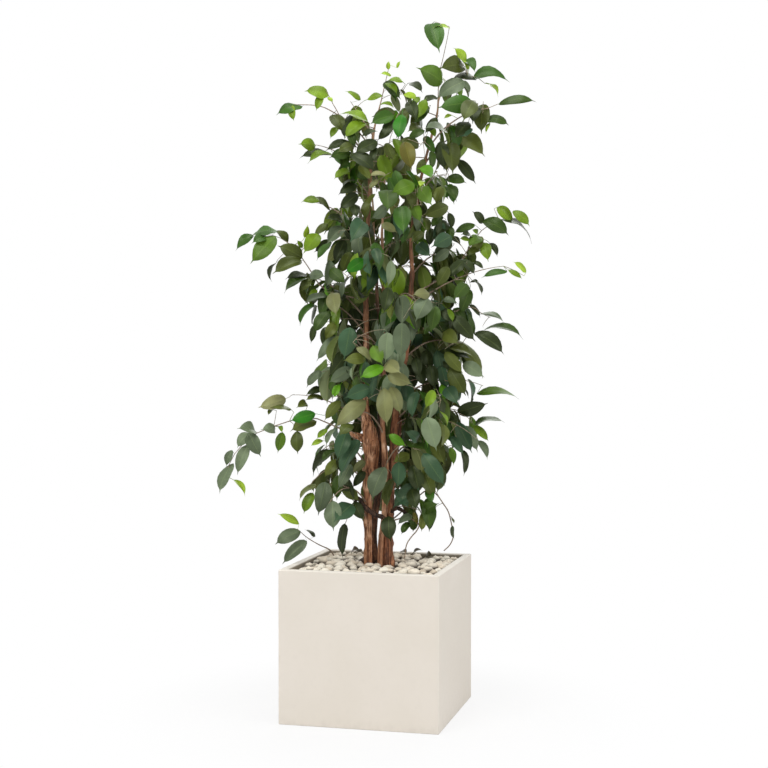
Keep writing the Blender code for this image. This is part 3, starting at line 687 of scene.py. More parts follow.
SET_LEAVES["branch_left_07"] = (
    (-0.085, 1.190, -0.110, 1.132, -0.030, 0.034, 0.80, "deep"),
    (-0.072, 1.160, -0.092, 1.107, -0.040, 0.030, 0.75, "moss"),
    (-0.256, 1.215, -0.321, 1.200, -0.020, 0.040, 0.50, "leaf"),
    (-0.226, 1.185, -0.260, 1.214, -0.010, 0.022, 0.45, "moss"),
    (-0.317, 1.204, -0.358, 1.167, -0.020, 0.028, 0.60, "leaf"),
    (-0.281, 1.202, -0.316, 1.184, -0.030, 0.030, 0.70, "leaf"),
    (-0.259, 1.199, -0.320, 1.134, -0.040, 0.052, 0.85, "spring"),
    (-0.194, 1.142, -0.263, 1.110, -0.045, 0.050, 0.85, "moss"),
    (-0.191, 1.146, -0.250, 1.175, -0.030, 0.040, 0.80, "moss"),
    (-0.264, 1.132, -0.273, 1.087, -0.020, 0.010, 0.50, "deep"),
    (-0.150, 1.206, -0.187, 1.159, -0.050, 0.040, 0.85, "fresh"),
    (-0.185, 1.195, -0.178, 1.226, -0.030, 0.014, 0.60, "young"),
    (-0.120, 1.184, -0.155, 1.142, -0.060, 0.020, 0.60, "leaf"),
    (-0.179, 1.103, -0.232, 1.094, -0.015, 0.020, 0.40, "deep"),
    (-0.184, 1.098, -0.237, 1.062, -0.030, 0.030, 0.50, "green"),
    (-0.170, 1.096, -0.192, 1.062, -0.020, 0.024, 0.55, "moss"),
    (-0.175, 1.103, -0.136, 1.098, -0.030, 0.030, 0.60, "grey"),
    (-0.120, 1.139, -0.128, 1.073, -0.070, 0.028, 0.70, "grey"),
    (-0.123, 1.116, -0.084, 1.082, -0.080, 0.034, 0.75, "green"),
    (-0.191, 1.170, -0.204, 1.188, -0.030, 0.013, 0.70, "lime"),
)
SET_LEAVES["branch_left_08"] = (
    (-0.154, 1.064, -0.175, 1.051, -0.010, 0.016, 0.70, "fresh"),
    (-0.132, 1.053, -0.184, 1.033, -0.030, 0.032, 0.65, "grey"),
    (-0.166, 1.031, -0.200, 0.980, -0.010, 0.024, 0.55, "leaf"),
    (-0.116, 1.060, -0.107, 1.003, -0.080, 0.042, 0.90, "khaki_and_sheen"),
    (-0.034, 1.140, -0.082, 1.109, -0.170, 0.034, 0.85, "vivid"),
)
SET_LEAVES["branch_left_09"] = (
    (-0.125, 1.012, -0.162, 0.958, -0.060, 0.036, 0.65, "green"),
    (-0.162, 0.975, -0.170, 0.931, -0.060, 0.018, 0.60, "deep"),
    (-0.111, 0.981, -0.133, 0.940, -0.080, 0.030, 0.75, "olive"),
    (-0.109, 0.946, -0.154, 0.888, -0.070, 0.030, 0.65, "grey"),
    (-0.071, 0.970, -0.086, 0.892, -0.150, 0.050, 0.95, "teal"),
    (-0.067, 1.018, -0.054, 0.960, 0.030, 0.035, 0.90, "deep"),
    (-0.016, 1.023, -0.022, 0.960, 0.030, 0.035, 0.90, "deep"),
    (-0.042, 1.028, -0.042, 0.962, 0.050, 0.030, 0.90, "deep"),
    (-0.019, 0.775, -0.011, 0.717, 0.030, 0.028, 0.85, "deep"),
)
SET_LEAVES["branch_left_11"] = (
    (-0.067, 0.866, -0.123, 0.832, -0.100, 0.036, 0.80, "grey"),
    (-0.146, 0.861, -0.180, 0.821, -0.050, 0.026, 0.55, "grey"),
    (-0.142, 0.816, -0.182, 0.800, -0.040, 0.020, 0.55, "deep"),
    (-0.021, 0.817, -0.082, 0.793, -0.150, 0.040, 0.80, "teal"),
    (-0.099, 0.824, -0.113, 0.793, -0.100, 0.016, 0.60, "bright"),
)
SET_LEAVES["branch_left_13"] = (
    (-0.113, 0.714, -0.133, 0.675, -0.060, 0.016, 0.60, "silver"),
    (-0.234, 0.790, -0.300, 0.768, -0.020, 0.039, 0.60, "straw_highlight"),
    (-0.220, 0.764, -0.270, 0.768, -0.030, 0.028, 0.60, "olive"),
    (-0.268, 0.764, -0.278, 0.750, -0.020, 0.012, 0.50, "moss"),
    (-0.180, 0.781, -0.204, 0.769, -0.040, 0.024, 0.70, "olive"),
    (-0.139, 0.792, -0.182, 0.789, -0.040, 0.016, 0.45, "olive"),
)
SET_LEAVES["branch_left_12"] = (
    (-0.159, 0.752, -0.221, 0.734, -0.070, 0.034, 0.75, "vivid"),
    (-0.157, 0.734, -0.220, 0.710, -0.050, 0.034, 0.70, "olive"),
    (-0.206, 0.708, -0.204, 0.652, -0.060, 0.036, 0.80, "moss"),
    (-0.242, 0.705, -0.254, 0.655, -0.050, 0.028, 0.75, "spring"),
    (-0.249, 0.722, -0.244, 0.706, -0.050, 0.012, 0.60, "fresh"),
    (-0.258, 0.716, -0.293, 0.712, -0.050, 0.032, 0.70, "silver"),
    (-0.308, 0.712, -0.350, 0.716, -0.060, 0.038, 0.75, "silver"),
    (-0.328, 0.703, -0.299, 0.646, -0.070, 0.040, 0.80, "grey"),
    (-0.327, 0.704, -0.356, 0.668, -0.055, 0.028, 0.60, "silver"),
    (-0.331, 0.673, -0.357, 0.601, -0.060, 0.032, 0.75, "silver"),
    (-0.371, 0.660, -0.385, 0.620, -0.060, 0.022, 0.60, "grey"),
    (-0.369, 0.627, -0.402, 0.555, -0.060, 0.030, 0.75, "silver"),
    (-0.363, 0.587, -0.336, 0.548, -0.060, 0.010, 0.60, "young"),
    (-0.141, 0.685, -0.170, 0.672, -0.050, 0.012, 0.60, "young"),
    (-0.130, 0.713, -0.155, 0.690, -0.060, 0.018, 0.60, "fresh"),
    (-0.097, 0.785, -0.135, 0.737, -0.090, 0.028, 0.65, "olive"),
    (-0.097, 0.826, -0.117, 0.797, -0.090, 0.014, 0.60, "bright"),
)
SET_LEAVES["branch_left_14"] = (
    (-0.105, 0.635, -0.135, 0.594, -0.040, 0.028, 0.75, "olive"),
    (-0.105, 0.635, -0.094, 0.599, -0.045, 0.015, 0.60, "deep"),
    (-0.119, 0.661, -0.168, 0.600, 0.010, 0.028, 0.55, "deep"),
    (-0.110, 0.660, -0.144, 0.632, -0.020, 0.024, 0.60, "green"),
    (-0.080, 0.710, -0.104, 0.637, -0.110, 0.042, 0.90, "teal"),
    (-0.052, 0.687, -0.097, 0.600, -0.100, 0.040, 0.85, "teal"),
)
SET_LEAVES["branch_left_15"] = (
    (-0.069, 0.624, -0.101, 0.563, -0.070, 0.032, 0.80, "grey"),
    (-0.034, 0.606, -0.065, 0.566, -0.040, 0.024, 0.75, "deep"),
    (-0.034, 0.633, -0.064, 0.604, -0.040, 0.022, 0.60, "khaki_and_sheen"),
    (-0.159, 0.574, -0.200, 0.537, -0.030, 0.020, 0.55, "olive"),
    (-0.167, 0.552, -0.189, 0.502, -0.040, 0.030, 0.75, "lime"),
    (-0.134, 0.579, -0.152, 0.498, -0.080, 0.050, 0.85, "grey"),
    (-0.115, 0.532, -0.114, 0.459, -0.120, 0.048, 0.90, "grey"),
    (-0.065, 0.525, -0.110, 0.482, -0.100, 0.048, 0.80, "teal"),
    (-0.082, 0.588, -0.065, 0.530, -0.050, 0.033, 0.85, "deep"),
    (-0.102, 0.596, -0.105, 0.535, -0.050, 0.030, 0.85, "green"),
)
SET_LEAVES["branch_left_16"] = (
    (-0.063, 0.529, -0.040, 0.484, -0.045, 0.034, 0.85, "deep"),
    (-0.090, 0.566, -0.050, 0.533, -0.050, 0.030, 0.75, "moss"),
)
SET_LEAVES["branch_left_18"] = (
    (-0.087, 0.474, -0.092, 0.391, -0.090, 0.034, 0.80, "deep"),
)
SET_LEAVES["branch_left_17"] = (
    (-0.198, 0.456, -0.259, 0.424, -0.020, 0.034, 0.70, "grey"),
    (-0.183, 0.431, -0.242, 0.375, -0.030, 0.034, 0.75, "grey"),
    (-0.200, 0.474, -0.252, 0.498, -0.020, 0.018, 0.60, "young"),
    (-0.159, 0.442, -0.184, 0.458, -0.010, 0.010, 0.50, "deep"),
)
SET_LEAVES["branch_right_05"] = (
    (0.236, 1.200, 0.211, 1.205, 0.010, 0.020, 0.60, "deep"),
    (0.258, 1.200, 0.227, 1.174, 0.015, 0.032, 0.70, "spring"),
    (0.234, 1.189, 0.205, 1.193, 0.000, 0.014, 0.55, "fresh"),
    (0.255, 1.173, 0.227, 1.152, 0.010, 0.026, 0.70, "moss"),
    (0.266, 1.233, 0.239, 1.260, 0.030, 0.026, 0.60, "deep"),
    (0.301, 1.274, 0.338, 1.237, 0.035, 0.032, 0.65, "fresh"),
    (0.340, 1.264, 0.379, 1.227, 0.040, 0.029, 0.60, "fresh"),
    (0.264, 1.241, 0.326, 1.207, 0.025, 0.036, 0.60, "green"),
    (0.315, 1.248, 0.386, 1.190, 0.030, 0.024, 0.50, "deep"),
    (0.243, 1.229, 0.191, 1.208, 0.020, 0.023, 0.60, "green"),
    (0.264, 1.185, 0.276, 1.138, 0.020, 0.034, 0.85, "fresh"),
    (0.262, 1.198, 0.231, 1.155, 0.010, 0.026, 0.70, "olive"),
    (0.282, 1.183, 0.300, 1.150, 0.030, 0.016, 0.60, "deep"),
    (0.252, 1.208, 0.237, 1.215, 0.010, 0.013, 0.70, "lime"),
)
SET_LEAVES["branch_right_06"] = (
    (0.324, 1.113, 0.263, 1.097, -0.060, 0.022, 0.50, "leaf"),
    (0.373, 1.109, 0.342, 1.134, -0.060, 0.018, 0.60, "young"),
    (0.328, 1.115, 0.361, 1.093, -0.060, 0.014, 0.50, "fresh"),
    (0.204, 1.142, 0.243, 1.106, -0.040, 0.025, 0.70, "deep"),
    (0.240, 1.135, 0.264, 1.118, -0.040, 0.014, 0.50, "deep"),
    (0.240, 1.090, 0.262, 1.055, -0.040, 0.011, 0.50, "deep"),
    (0.225, 1.080, 0.191, 1.043, -0.060, 0.036, 0.80, "green"),
    (0.231, 1.084, 0.252, 1.086, -0.030, 0.013, 0.60, "deep"),
)
SET_LEAVES["branch_right_08"] = (
    (0.231, 1.066, 0.206, 1.005, -0.020, 0.034, 0.80, "green"),
    (0.156, 1.013, 0.204, 0.983, -0.040, 0.032, 0.75, "deep"),
    (0.231, 1.028, 0.256, 0.997, -0.010, 0.016, 0.50, "deep"),
    (0.258, 1.008, 0.316, 0.983, -0.015, 0.014, 0.45, "green"),
    (0.270, 0.973, 0.361, 0.950, -0.020, 0.015, 0.50, "green"),
    (0.247, 0.960, 0.315, 0.907, -0.030, 0.036, 0.70, "deep"),
    (0.188, 0.998, 0.242, 0.937, -0.050, 0.040, 0.75, "deep"),
    (0.176, 1.016, 0.188, 0.985, -0.050, 0.015, 0.70, "lime"),
    (0.163, 1.041, 0.199, 1.031, -0.050, 0.018, 0.60, "grey"),
    (0.145, 1.023, 0.133, 0.960, -0.200, 0.035, 0.85, "green"),
    (0.214, 1.137, 0.176, 1.097, -0.060, 0.033, 0.85, "deep"),
    (0.176, 1.122, 0.148, 1.074, -0.070, 0.033, 0.85, "moss"),
)
SET_LEAVES["branch_right_09"] = (
    (0.168, 0.907, 0.211, 0.856, -0.050, 0.032, 0.75, "olive"),
    (0.193, 0.942, 0.262, 0.849, 0.020, 0.040, 0.70, "olive"),
    (0.182, 0.921, 0.238, 0.899, -0.020, 0.034, 0.60, "olive"),
    (0.156, 0.914, 0.233, 0.892, -0.010, 0.030, 0.50, "deep"),
    (0.214, 0.880, 0.264, 0.846, -0.030, 0.038, 0.70, "silver"),
    (0.163, 0.960, 0.199, 0.929, -0.050, 0.040, 0.80, "olive"),
    (0.118, 0.912, 0.133, 0.851, 0.020, 0.038, 0.90, "deep"),
    (0.148, 0.912, 0.163, 0.844, 0.015, 0.038, 0.90, "teal"),
    (0.173, 0.897, 0.186, 0.844, 0.010, 0.033, 0.90, "deep"),
    (0.092, 0.894, 0.102, 0.846, -0.020, 0.030, 0.85, "deep"),
    (0.100, 0.881, 0.113, 0.823, 0.000, 0.035, 0.90, "deep"),
    (0.130, 0.876, 0.140, 0.818, 0.000, 0.038, 0.90, "deep"),
    (0.158, 0.871, 0.173, 0.816, 0.000, 0.035, 0.90, "teal"),
    (0.075, 0.876, 0.090, 0.813, 0.020, 0.040, 0.90, "deep"),
)
SET_LEAVES["branch_right_10"] = (
    (0.249, 0.808, 0.349, 0.795, 0.010, 0.022, 0.55, "spring"),
    (0.199, 0.755, 0.273, 0.777, -0.010, 0.040, 0.80, "deep"),
    (0.244, 0.730, 0.313, 0.735, 0.000, 0.024, 0.55, "green"),
    (0.180, 0.866, 0.219, 0.800, -0.040, 0.046, 0.85, "moss"),
    (0.168, 0.820, 0.199, 0.778, -0.060, 0.040, 0.80, "teal"),
)
SET_LEAVES["branch_right_12"] = (
    (0.199, 0.730, 0.235, 0.656, -0.010, 0.038, 0.80, "teal"),
    (0.243, 0.722, 0.277, 0.684, 0.030, 0.022, 0.65, "fresh"),
    (0.214, 0.722, 0.251, 0.659, 0.010, 0.034, 0.75, "grey"),
    (0.255, 0.685, 0.276, 0.639, 0.020, 0.020, 0.60, "grey"),
    (0.183, 0.694, 0.214, 0.651, -0.050, 0.025, 0.75, "teal"),
)
SET_LEAVES["branch_right_14"] = (
    (0.116, 0.602, 0.139, 0.540, -0.055, 0.036, 0.80, "moss"),
    (0.215, 0.661, 0.218, 0.598, 0.010, 0.022, 0.60, "deep"),
    (0.113, 0.651, 0.165, 0.573, -0.120, 0.046, 0.85, "teal"),
    (0.126, 0.539, 0.128, 0.458, -0.060, 0.040, 0.80, "green"),
)
SET_LEAVES["branch_front_04"] = (
    (0.009, 1.230, 0.045, 1.210, -0.140, 0.026, 0.70, "khaki_and_sheen"),
    (0.034, 1.138, 0.024, 1.074, -0.210, 0.024, 0.80, "silver"),
    (0.125, 1.046, 0.095, 0.988, -0.210, 0.048, 0.90, "grey"),
    (0.129, 1.055, 0.088, 1.051, -0.200, 0.030, 0.70, "khaki_and_sheen"),
    (0.027, 1.071, 0.014, 1.008, -0.190, 0.033, 0.85, "deep"),
    (0.082, 1.016, 0.100, 0.960, -0.190, 0.030, 0.85, "deep"),
)
SET_LEAVES["branch_front_08"] = (
    (-0.067, 0.727, -0.097, 0.699, -0.165, 0.030, 0.80, "moss"),
)
SET_LEAVES["branch_front_06"] = (
    (0.023, 0.957, 0.018, 0.885, -0.210, 0.046, 0.95, "silver"),
    (0.060, 0.982, 0.056, 0.892, -0.215, 0.047, 0.95, "grey"),
    (-0.014, 0.924, 0.009, 0.878, -0.205, 0.036, 0.80, "spring"),
    (-0.053, 0.921, -0.017, 0.885, -0.200, 0.020, 0.60, "khaki_and_sheen"),
    (-0.033, 0.890, -0.086, 0.887, -0.195, 0.030, 0.55, "olive"),
    (0.013, 0.871, -0.044, 0.844, -0.215, 0.032, 0.90, "bright"),
    (0.018, 0.883, 0.054, 0.856, -0.205, 0.040, 0.80, "khaki_and_sheen"),
    (0.023, 0.849, 0.083, 0.827, -0.200, 0.034, 0.75, "khaki_and_sheen"),
)
SET_LEAVES["branch_front_07"] = (
    (0.013, 0.817, 0.021, 0.724, -0.190, 0.044, 0.95, "khaki_and_sheen"),
    (0.032, 0.820, 0.055, 0.753, -0.180, 0.036, 0.80, "khaki_and_sheen"),
    (0.095, 0.808, 0.083, 0.745, -0.170, 0.040, 0.85, "teal"),
    (0.140, 0.811, 0.120, 0.768, -0.180, 0.027, 0.85, "fresh"),
    (0.122, 0.743, 0.146, 0.662, -0.180, 0.052, 0.98, "silver"),
    (-0.033, 0.786, -0.108, 0.720, -0.150, 0.048, 0.85, "khaki_and_sheen"),
)
SET_LEAVES["branch_front_09"] = (
    (0.071, 0.591, 0.083, 0.516, -0.050, 0.042, 0.85, "green"),
    (0.087, 0.622, 0.103, 0.552, -0.060, 0.044, 0.90, "deep"),
    (0.079, 0.650, 0.039, 0.630, -0.050, 0.030, 0.65, "olive"),
    (0.044, 0.562, 0.076, 0.515, -0.060, 0.028, 0.75, "teal"),
    (0.027, 0.699, 0.068, 0.670, -0.120, 0.024, 0.75, "bright"),
    (0.102, 0.684, 0.071, 0.706, -0.120, 0.030, 0.70, "teal"),
    (0.052, 0.630, 0.048, 0.567, -0.080, 0.040, 0.85, "teal"),
    (0.158, 0.759, 0.174, 0.720, -0.130, 0.010, 0.50, "fresh"),
    (0.014, 0.618, -0.018, 0.537, -0.100, 0.048, 0.92, "grey"),
    (0.025, 0.493, 0.029, 0.432, -0.060, 0.040, 0.85, "deep"),
)
SET_LEAVES["branch_right_04"] = (
    (0.179, 1.331, 0.190, 1.282, -0.020, 0.025, 0.75, "leaf"),
    (0.176, 1.274, 0.114, 1.251, -0.060, 0.039, 0.90, "moss"),
    (0.159, 1.324, 0.144, 1.282, -0.050, 0.028, 0.80, "olive"),
    (0.179, 1.258, 0.185, 1.219, -0.020, 0.020, 0.55, "deep"),
    (0.161, 1.251, 0.133, 1.223, -0.050, 0.023, 0.70, "green"),
)
SET_LEAVES["branch_front_03"] = (
    (0.102, 1.324, 0.133, 1.279, -0.120, 0.042, 0.90, "spring"),
    (0.073, 1.319, 0.086, 1.266, -0.130, 0.034, 0.85, "moss"),
    (0.058, 1.278, 0.063, 1.210, -0.150, 0.048, 0.95, "leaf"),
    (0.085, 1.284, 0.105, 1.236, -0.125, 0.030, 0.85, "spring"),
    (0.113, 1.236, 0.115, 1.183, -0.100, 0.013, 0.60, "spring"),
    (0.113, 1.210, 0.082, 1.185, -0.120, 0.023, 0.80, "moss"),
)
SET_LEAVES["branch_right_07"] = (
    (0.173, 1.238, 0.145, 1.200, -0.020, 0.033, 0.70, "deep"),
    (0.185, 1.200, 0.136, 1.173, -0.040, 0.042, 0.85, "teal"),
    (0.181, 1.199, 0.207, 1.177, 0.010, 0.017, 0.55, "deep"),
    (0.158, 1.236, 0.148, 1.177, -0.030, 0.033, 0.85, "teal"),
    (0.133, 1.220, 0.128, 1.175, -0.030, 0.028, 0.80, "deep"),
    (0.176, 1.226, 0.186, 1.190, -0.020, 0.025, 0.80, "green"),
    (0.118, 1.246, 0.125, 1.210, -0.050, 0.023, 0.80, "moss"),
    (0.095, 1.180, 0.130, 1.150, -0.040, 0.035, 0.85, "teal"),
    (0.186, 1.183, 0.138, 1.155, -0.010, 0.030, 0.75, "deep"),
    (0.178, 1.165, 0.138, 1.134, -0.020, 0.028, 0.75, "grey"),
)
SET_LEAVES["branch_front_02"] = (
    (0.022, 1.319, 0.024, 1.266, -0.150, 0.053, 0.95, "green"),
)
SET_LEAVES["branch_right_15"] = (
    (0.083, 0.564, 0.096, 0.512, -0.070, 0.038, 0.85, "deep"),
    (0.125, 0.561, 0.135, 0.527, -0.050, 0.026, 0.75, "leaf"),
    (0.111, 0.505, 0.148, 0.524, -0.060, 0.032, 0.75, "green"),
    (0.139, 0.507, 0.128, 0.456, -0.050, 0.022, 0.70, "grey"),
    (0.114, 0.501, 0.109, 0.456, -0.060, 0.022, 0.70, "olive"),
    (0.089, 0.503, 0.097, 0.472, -0.050, 0.013, 0.60, "amber_glow"),
    (0.077, 0.478, 0.058, 0.449, -0.040, 0.022, 0.75, "green"),
    (0.084, 0.496, 0.050, 0.474, -0.045, 0.020, 0.60, "grey"),
    (0.032, 0.588, 0.019, 0.517, -0.060, 0.030, 0.80, "moss"),
    (0.100, 0.573, 0.037, 0.517, -0.062, 0.040, 0.85, "teal"),
)

# The leaves of the aerial twigs, in rows of the same kind
AERIAL_LEAVES = (
    (0.186, 0.468, 0.190, 0.436, 0.016, 0.012, 0.70, "grey"),
    (0.184, 0.492, 0.191, 0.474, 0.016, 0.005, 0.60, "moss"),
)
# The dry leaves that lie at the back of the pebbles, in rows of the same kind
FALLEN_LEAVES = (
    (-0.070, 0.404, -0.050, 0.409, 0.150, 0.016, 0.40, "dry"),
    (-0.057, 0.407, -0.041, 0.403, 0.152, 0.012, 0.50, "dry"),
    (0.058, 0.406, 0.071, 0.401, 0.150, 0.014, 0.60, "dry"),
    (0.088, 0.403, 0.109, 0.407, 0.150, 0.013, 0.40, "dry"),
    (0.119, 0.396, 0.134, 0.395, 0.150, 0.014, 0.60, "dry"),
)


# --- shader maths ---


class Signal:
    """An output socket of a material's nodes, with the arithmetic of plain numbers."""

    def __init__(self, finish, socket):
        self.finish = finish
        self.socket = socket

    def maths(self, operation, *values):
        return self.finish.node("ShaderNodeMath", {"operation": operation}, dict(enumerate(values)))

    def __add__(self, other):
        return self.maths("ADD", self, other)

    def __sub__(self, other):
        return self.maths("SUBTRACT", self, other)

    def __rsub__(self, other):
        return self.maths("SUBTRACT", other, self)

    def __mul__(self, other):
        return self.maths("MULTIPLY", self, other)

    def __abs__(self):
        return self.maths("ABSOLUTE", self)

    __radd__ = __add__
    __rmul__ = __mul__

    def limited(self):
        return self.finish.node("ShaderNodeClamp", {}, {"Value": self})

    def wave(self):
        return self.maths("SINE", self)

    def between(self, low, high):
        """0 at low, 1 at high, and smooth in between."""
        settings = {"interpolation_type": "SMOOTHSTEP"}
        inputs = {"Value": self, "From Min": low, "From Max": high}
        return self.finish.node("ShaderNodeMapRange", settings, inputs)


class Finish:
    """A material under construction, around one Principled shader."""

    def __init__(self, name):
        self.material = bpy.data.materials.new(name)
        self.material.use_nodes = True
        self.tree = self.material.node_tree
        self.shader = self.tree.nodes["Principled BSDF"]

    def node(self, kind, settings, inputs, output=0):
        """A node of this kind, its settings made first, then its sockets filled or linked."""
        made = self.tree.nodes.new(kind)
        for key, value in settings.items():
            setattr(made, key, value)
        for key, value in inputs.items():
            self.feed(made.inputs[key], value)
        return Signal(self, made.outputs[output])

    def feed(self, socket, value):
        if isinstance(value, Signal):
            self.tree.links.new(value.socket, socket)
        elif isinstance(value, tuple) and len(value) == 3 and socket.type == "RGBA":
            socket.default_value = (*value, 1.0)
        else:
            socket.default_value = value

    def mix(self, amount, first, second):
        """Colour first where amount is 0 and second where it is 1."""
        made = self.tree.nodes.new("ShaderNodeMix")
        made.data_type = "RGBA"
        self.feed(made.inputs[0], amount)
        self.feed(made.inputs[6], first)
        self.feed(made.inputs[7], second)
        return Signal(self, made.outputs[2])

    def place(self):
        return self.node("ShaderNodeTexCoord", {}, {}, "Object")

    def attribute(self, name, output="Vector"):
        return self.node("ShaderNodeAttribute", {"attribute_name": name}, {}, output)

    def parts(self, vector):
        """The three numbers of a vector."""
        made = self.node("ShaderNodeSeparateXYZ", {}, {0: vector})
        sockets = made.socket.node.outputs
        return tuple(Signal(self, sockets[index]) for index in range(3))

    def stretched(self, vector, factors):
        return self.node("ShaderNodeVectorMath", {"operation": "MULTIPLY"}, {0: vector, 1: factors})

    def noise(self, vector, scale, detail=3.0, roughness=0.5):
        inputs = {"Vector": vector, "Scale": scale, "Detail": detail, "Roughness": roughness}
        return self.node("ShaderNodeTexNoise", {}, inputs)

    def cells(self, vector, scale):
        return self.node("ShaderNodeTexVoronoi", {}, {"Vector": vector, "Scale": scale})

    def bump(self, height, strength, distance):
        inputs = {"Height": height, "Strength": strength, "Distance": distance}
        self.feed(self.shader.inputs["Normal"], self.node("ShaderNodeBump", {}, inputs))

    def finish(self, **sockets):
        for key, value in sockets.items():
            self.feed(self.shader.inputs[key.replace("_", " ")], value)
        return self.material


def colour(red, green, blue):
    """A display colour, 0 to 255, as the linear colour that a shader takes."""
    shares = np.array([red, green, blue]) / 255.0
    linear = np.where(shares <= 0.04045, shares / 12.92, ((shares + 0.055) / 1.055) ** 2.4)
    return tuple(float(value) for value in linear)


# --- materials ---


def leaf_finish(name):
    """Glossy leaves in their own greens, with a pale midrib, fine side veins and a paler, dull underside, and
    with painted shade on one half of each blade and towards its tip and margins.
    """
    made = Finish(name)
    across, along, shaded_half = made.parts(made.attribute("blade"))
    tint = made.attribute("tint", "Color")
    under = made.attribute("underside", "Fac")
    place = made.place()
    off_middle = abs(across)
    cloud = made.noise(place, 48.0, 1.5)
    patch = made.noise(place, 17.0, 2.0)
    light = made.mix(0.20, tint, colour(150, 168, 86))
    deep = made.mix(0.50, tint, colour(20, 22, 8))
    green = made.mix(cloud.between(0.38, 0.72) * 0.36, tint, deep)
    green = made.mix(patch.between(0.40, 0.62) * 0.42, green, deep)
    # Painted shade: the blade grows darker towards its tip and its margins.
    green = made.mix((along * along) * off_middle * 0.4, green, deep)
    # Painted shade: one half of a blade is darker, as if its fold turned it away from the light. The blade's
    # third number picks which half.
    green = made.mix((across * shaded_half).between(-0.25, 0.25) * 0.55, green, deep)
    wave = (along * 82.0 - off_middle * 16.0).wave().between(0.45, 1.0)
    side_vein = wave * (1.0 - off_middle)
    green = made.mix(side_vein * 0.16, green, light)
    midrib = 1.0 - off_middle.between(0.01, 0.070)
    green = made.mix(midrib * 0.60, green, light)
    pale = made.mix(0.38, tint, colour(128, 132, 78))
    pale = made.mix(midrib * 0.5, pale, colour(154, 156, 100))
    skin = made.mix(under, green, pale)
    made.bump(midrib * -0.9 + side_vein * -0.08 + cloud * 0.3, 0.10, 0.0005)
    roughness = 0.24 + under * 0.26 + cloud * 0.16 - midrib * 0.04
    gloss = {"Specular_IOR_Level": 0.24, "Specular_Tint": (0.88, 1.0, 0.68)}
    return made.finish(Base_Color=skin, Roughness=roughness, **gloss)


def bark_finish(name):
    """Bark in long streaks with pale blotches and flecks, plainer and redder where it is young."""
    pale, middle, dark, red = (colour(*shade) for shade in BARKS[name])
    made = Finish(name)
    place = made.place()
    age = made.attribute("age", "Fac")
    streaks = made.noise(made.stretched(place, (1.0, 1.0, 0.09)), 190.0, 4.0, 0.6)
    cracks = made.noise(made.stretched(place, (1.0, 1.0, 0.16)), 420.0, 3.0, 0.6)
    blotches = made.noise(place, 34.0, 3.0)
    rings = made.noise(made.stretched(place, (0.25, 0.25, 1.0)), 330.0, 2.0)
    flecks = made.cells(made.stretched(place, (1.0, 1.0, 0.6)), 420.0)
    wood = made.mix(streaks.between(0.34, 0.60), dark, middle)
    wood = made.mix(blotches.between(0.46, 0.66) * streaks.between(0.40, 0.62), wood, pale)
    wood = made.mix((1.0 - cracks.between(0.34, 0.46)) * 0.7, wood, dark)
    wood = made.mix((1.0 - flecks.between(0.05, 0.30)) * 0.3 * age, wood, colour(196, 160, 122))
    wood = made.mix((1.0 - age) * 0.7, wood, red)
    wood = made.mix((1.0 - age.between(0.02, 0.24)) * 0.7, wood, colour(204, 166, 134))
    height = streaks * 0.9 + cracks * 0.5 + rings * 0.3 + blotches * 0.5
    made.bump(height, 0.9, 0.0016)
    return made.finish(Base_Color=wood, Roughness=0.58 + streaks * 0.2, Specular_IOR_Level=0.3)


def twig_finish():
    """Thin young twigs, greyish brown at a thick foot and greyish green at a thin tip."""
    made = Finish("fig_twig")
    age = made.attribute("age", "Fac")
    place = made.place()
    streaks = made.noise(place, 300.0, 3.0)
    old = made.mix(streaks.between(0.35, 0.65), colour(112, 92, 76), colour(164, 142, 120))
    young = made.mix(streaks.between(0.35, 0.65), colour(134, 132, 96), colour(172, 166, 138))
    made.bump(streaks, 0.4, 0.0005)
    skin = made.mix(age.between(0.05, 0.55), young, old)
    return made.finish(Base_Color=skin, Roughness=0.5 + streaks * 0.2)


def pebble_finish():
    """Cream river pebbles, each with its own tone, some greyer or browner, finely pitted and speckled, with
    painted shade on their lower sides and near the bed.
    """
    made = Finish("cream_pebble")
    place = made.place()
    shade, warmth, _ = made.parts(made.attribute("look"))
    body = made.mix(shade, colour(240, 226, 204), colour(255, 248, 231))
    body = made.mix(warmth.between(0.76, 1.0) * 0.6, body, colour(190, 172, 148))
    bands = made.noise(made.stretched(place, (1.0, 1.0, 2.4)), 90.0, 4.0)
    body = made.mix(bands.between(0.50, 0.72) * 0.35, body, colour(176, 166, 152))
    _, _, height = made.parts(place)
    # Painted shade: each pebble darkens on its lower side, and all pebbles darken near the bed, where the
    # gaps between them are shaded.
    low = 1.0 - made.attribute("rise", "Fac").between(0.04, 0.72)
    bed_shade = 1.0 - height.between(PEBBLE_BED, PEBBLE_BED + 0.010)
    body = made.mix((low * 0.90 + bed_shade * 0.46).limited() * 0.96, body, colour(56, 42, 25))
    specks = made.cells(place, 900.0).between(0.0, 0.28)
    body = made.mix((1.0 - specks) * 0.3, body, colour(132, 118, 104))
    grain = made.noise(place, 520.0, 4.0)
    made.bump(grain * 0.6 + specks * 0.4 + bands * 0.4, 0.5, 0.0008)
    return made.finish(Base_Color=body, Roughness=0.55 + grain * 0.25)


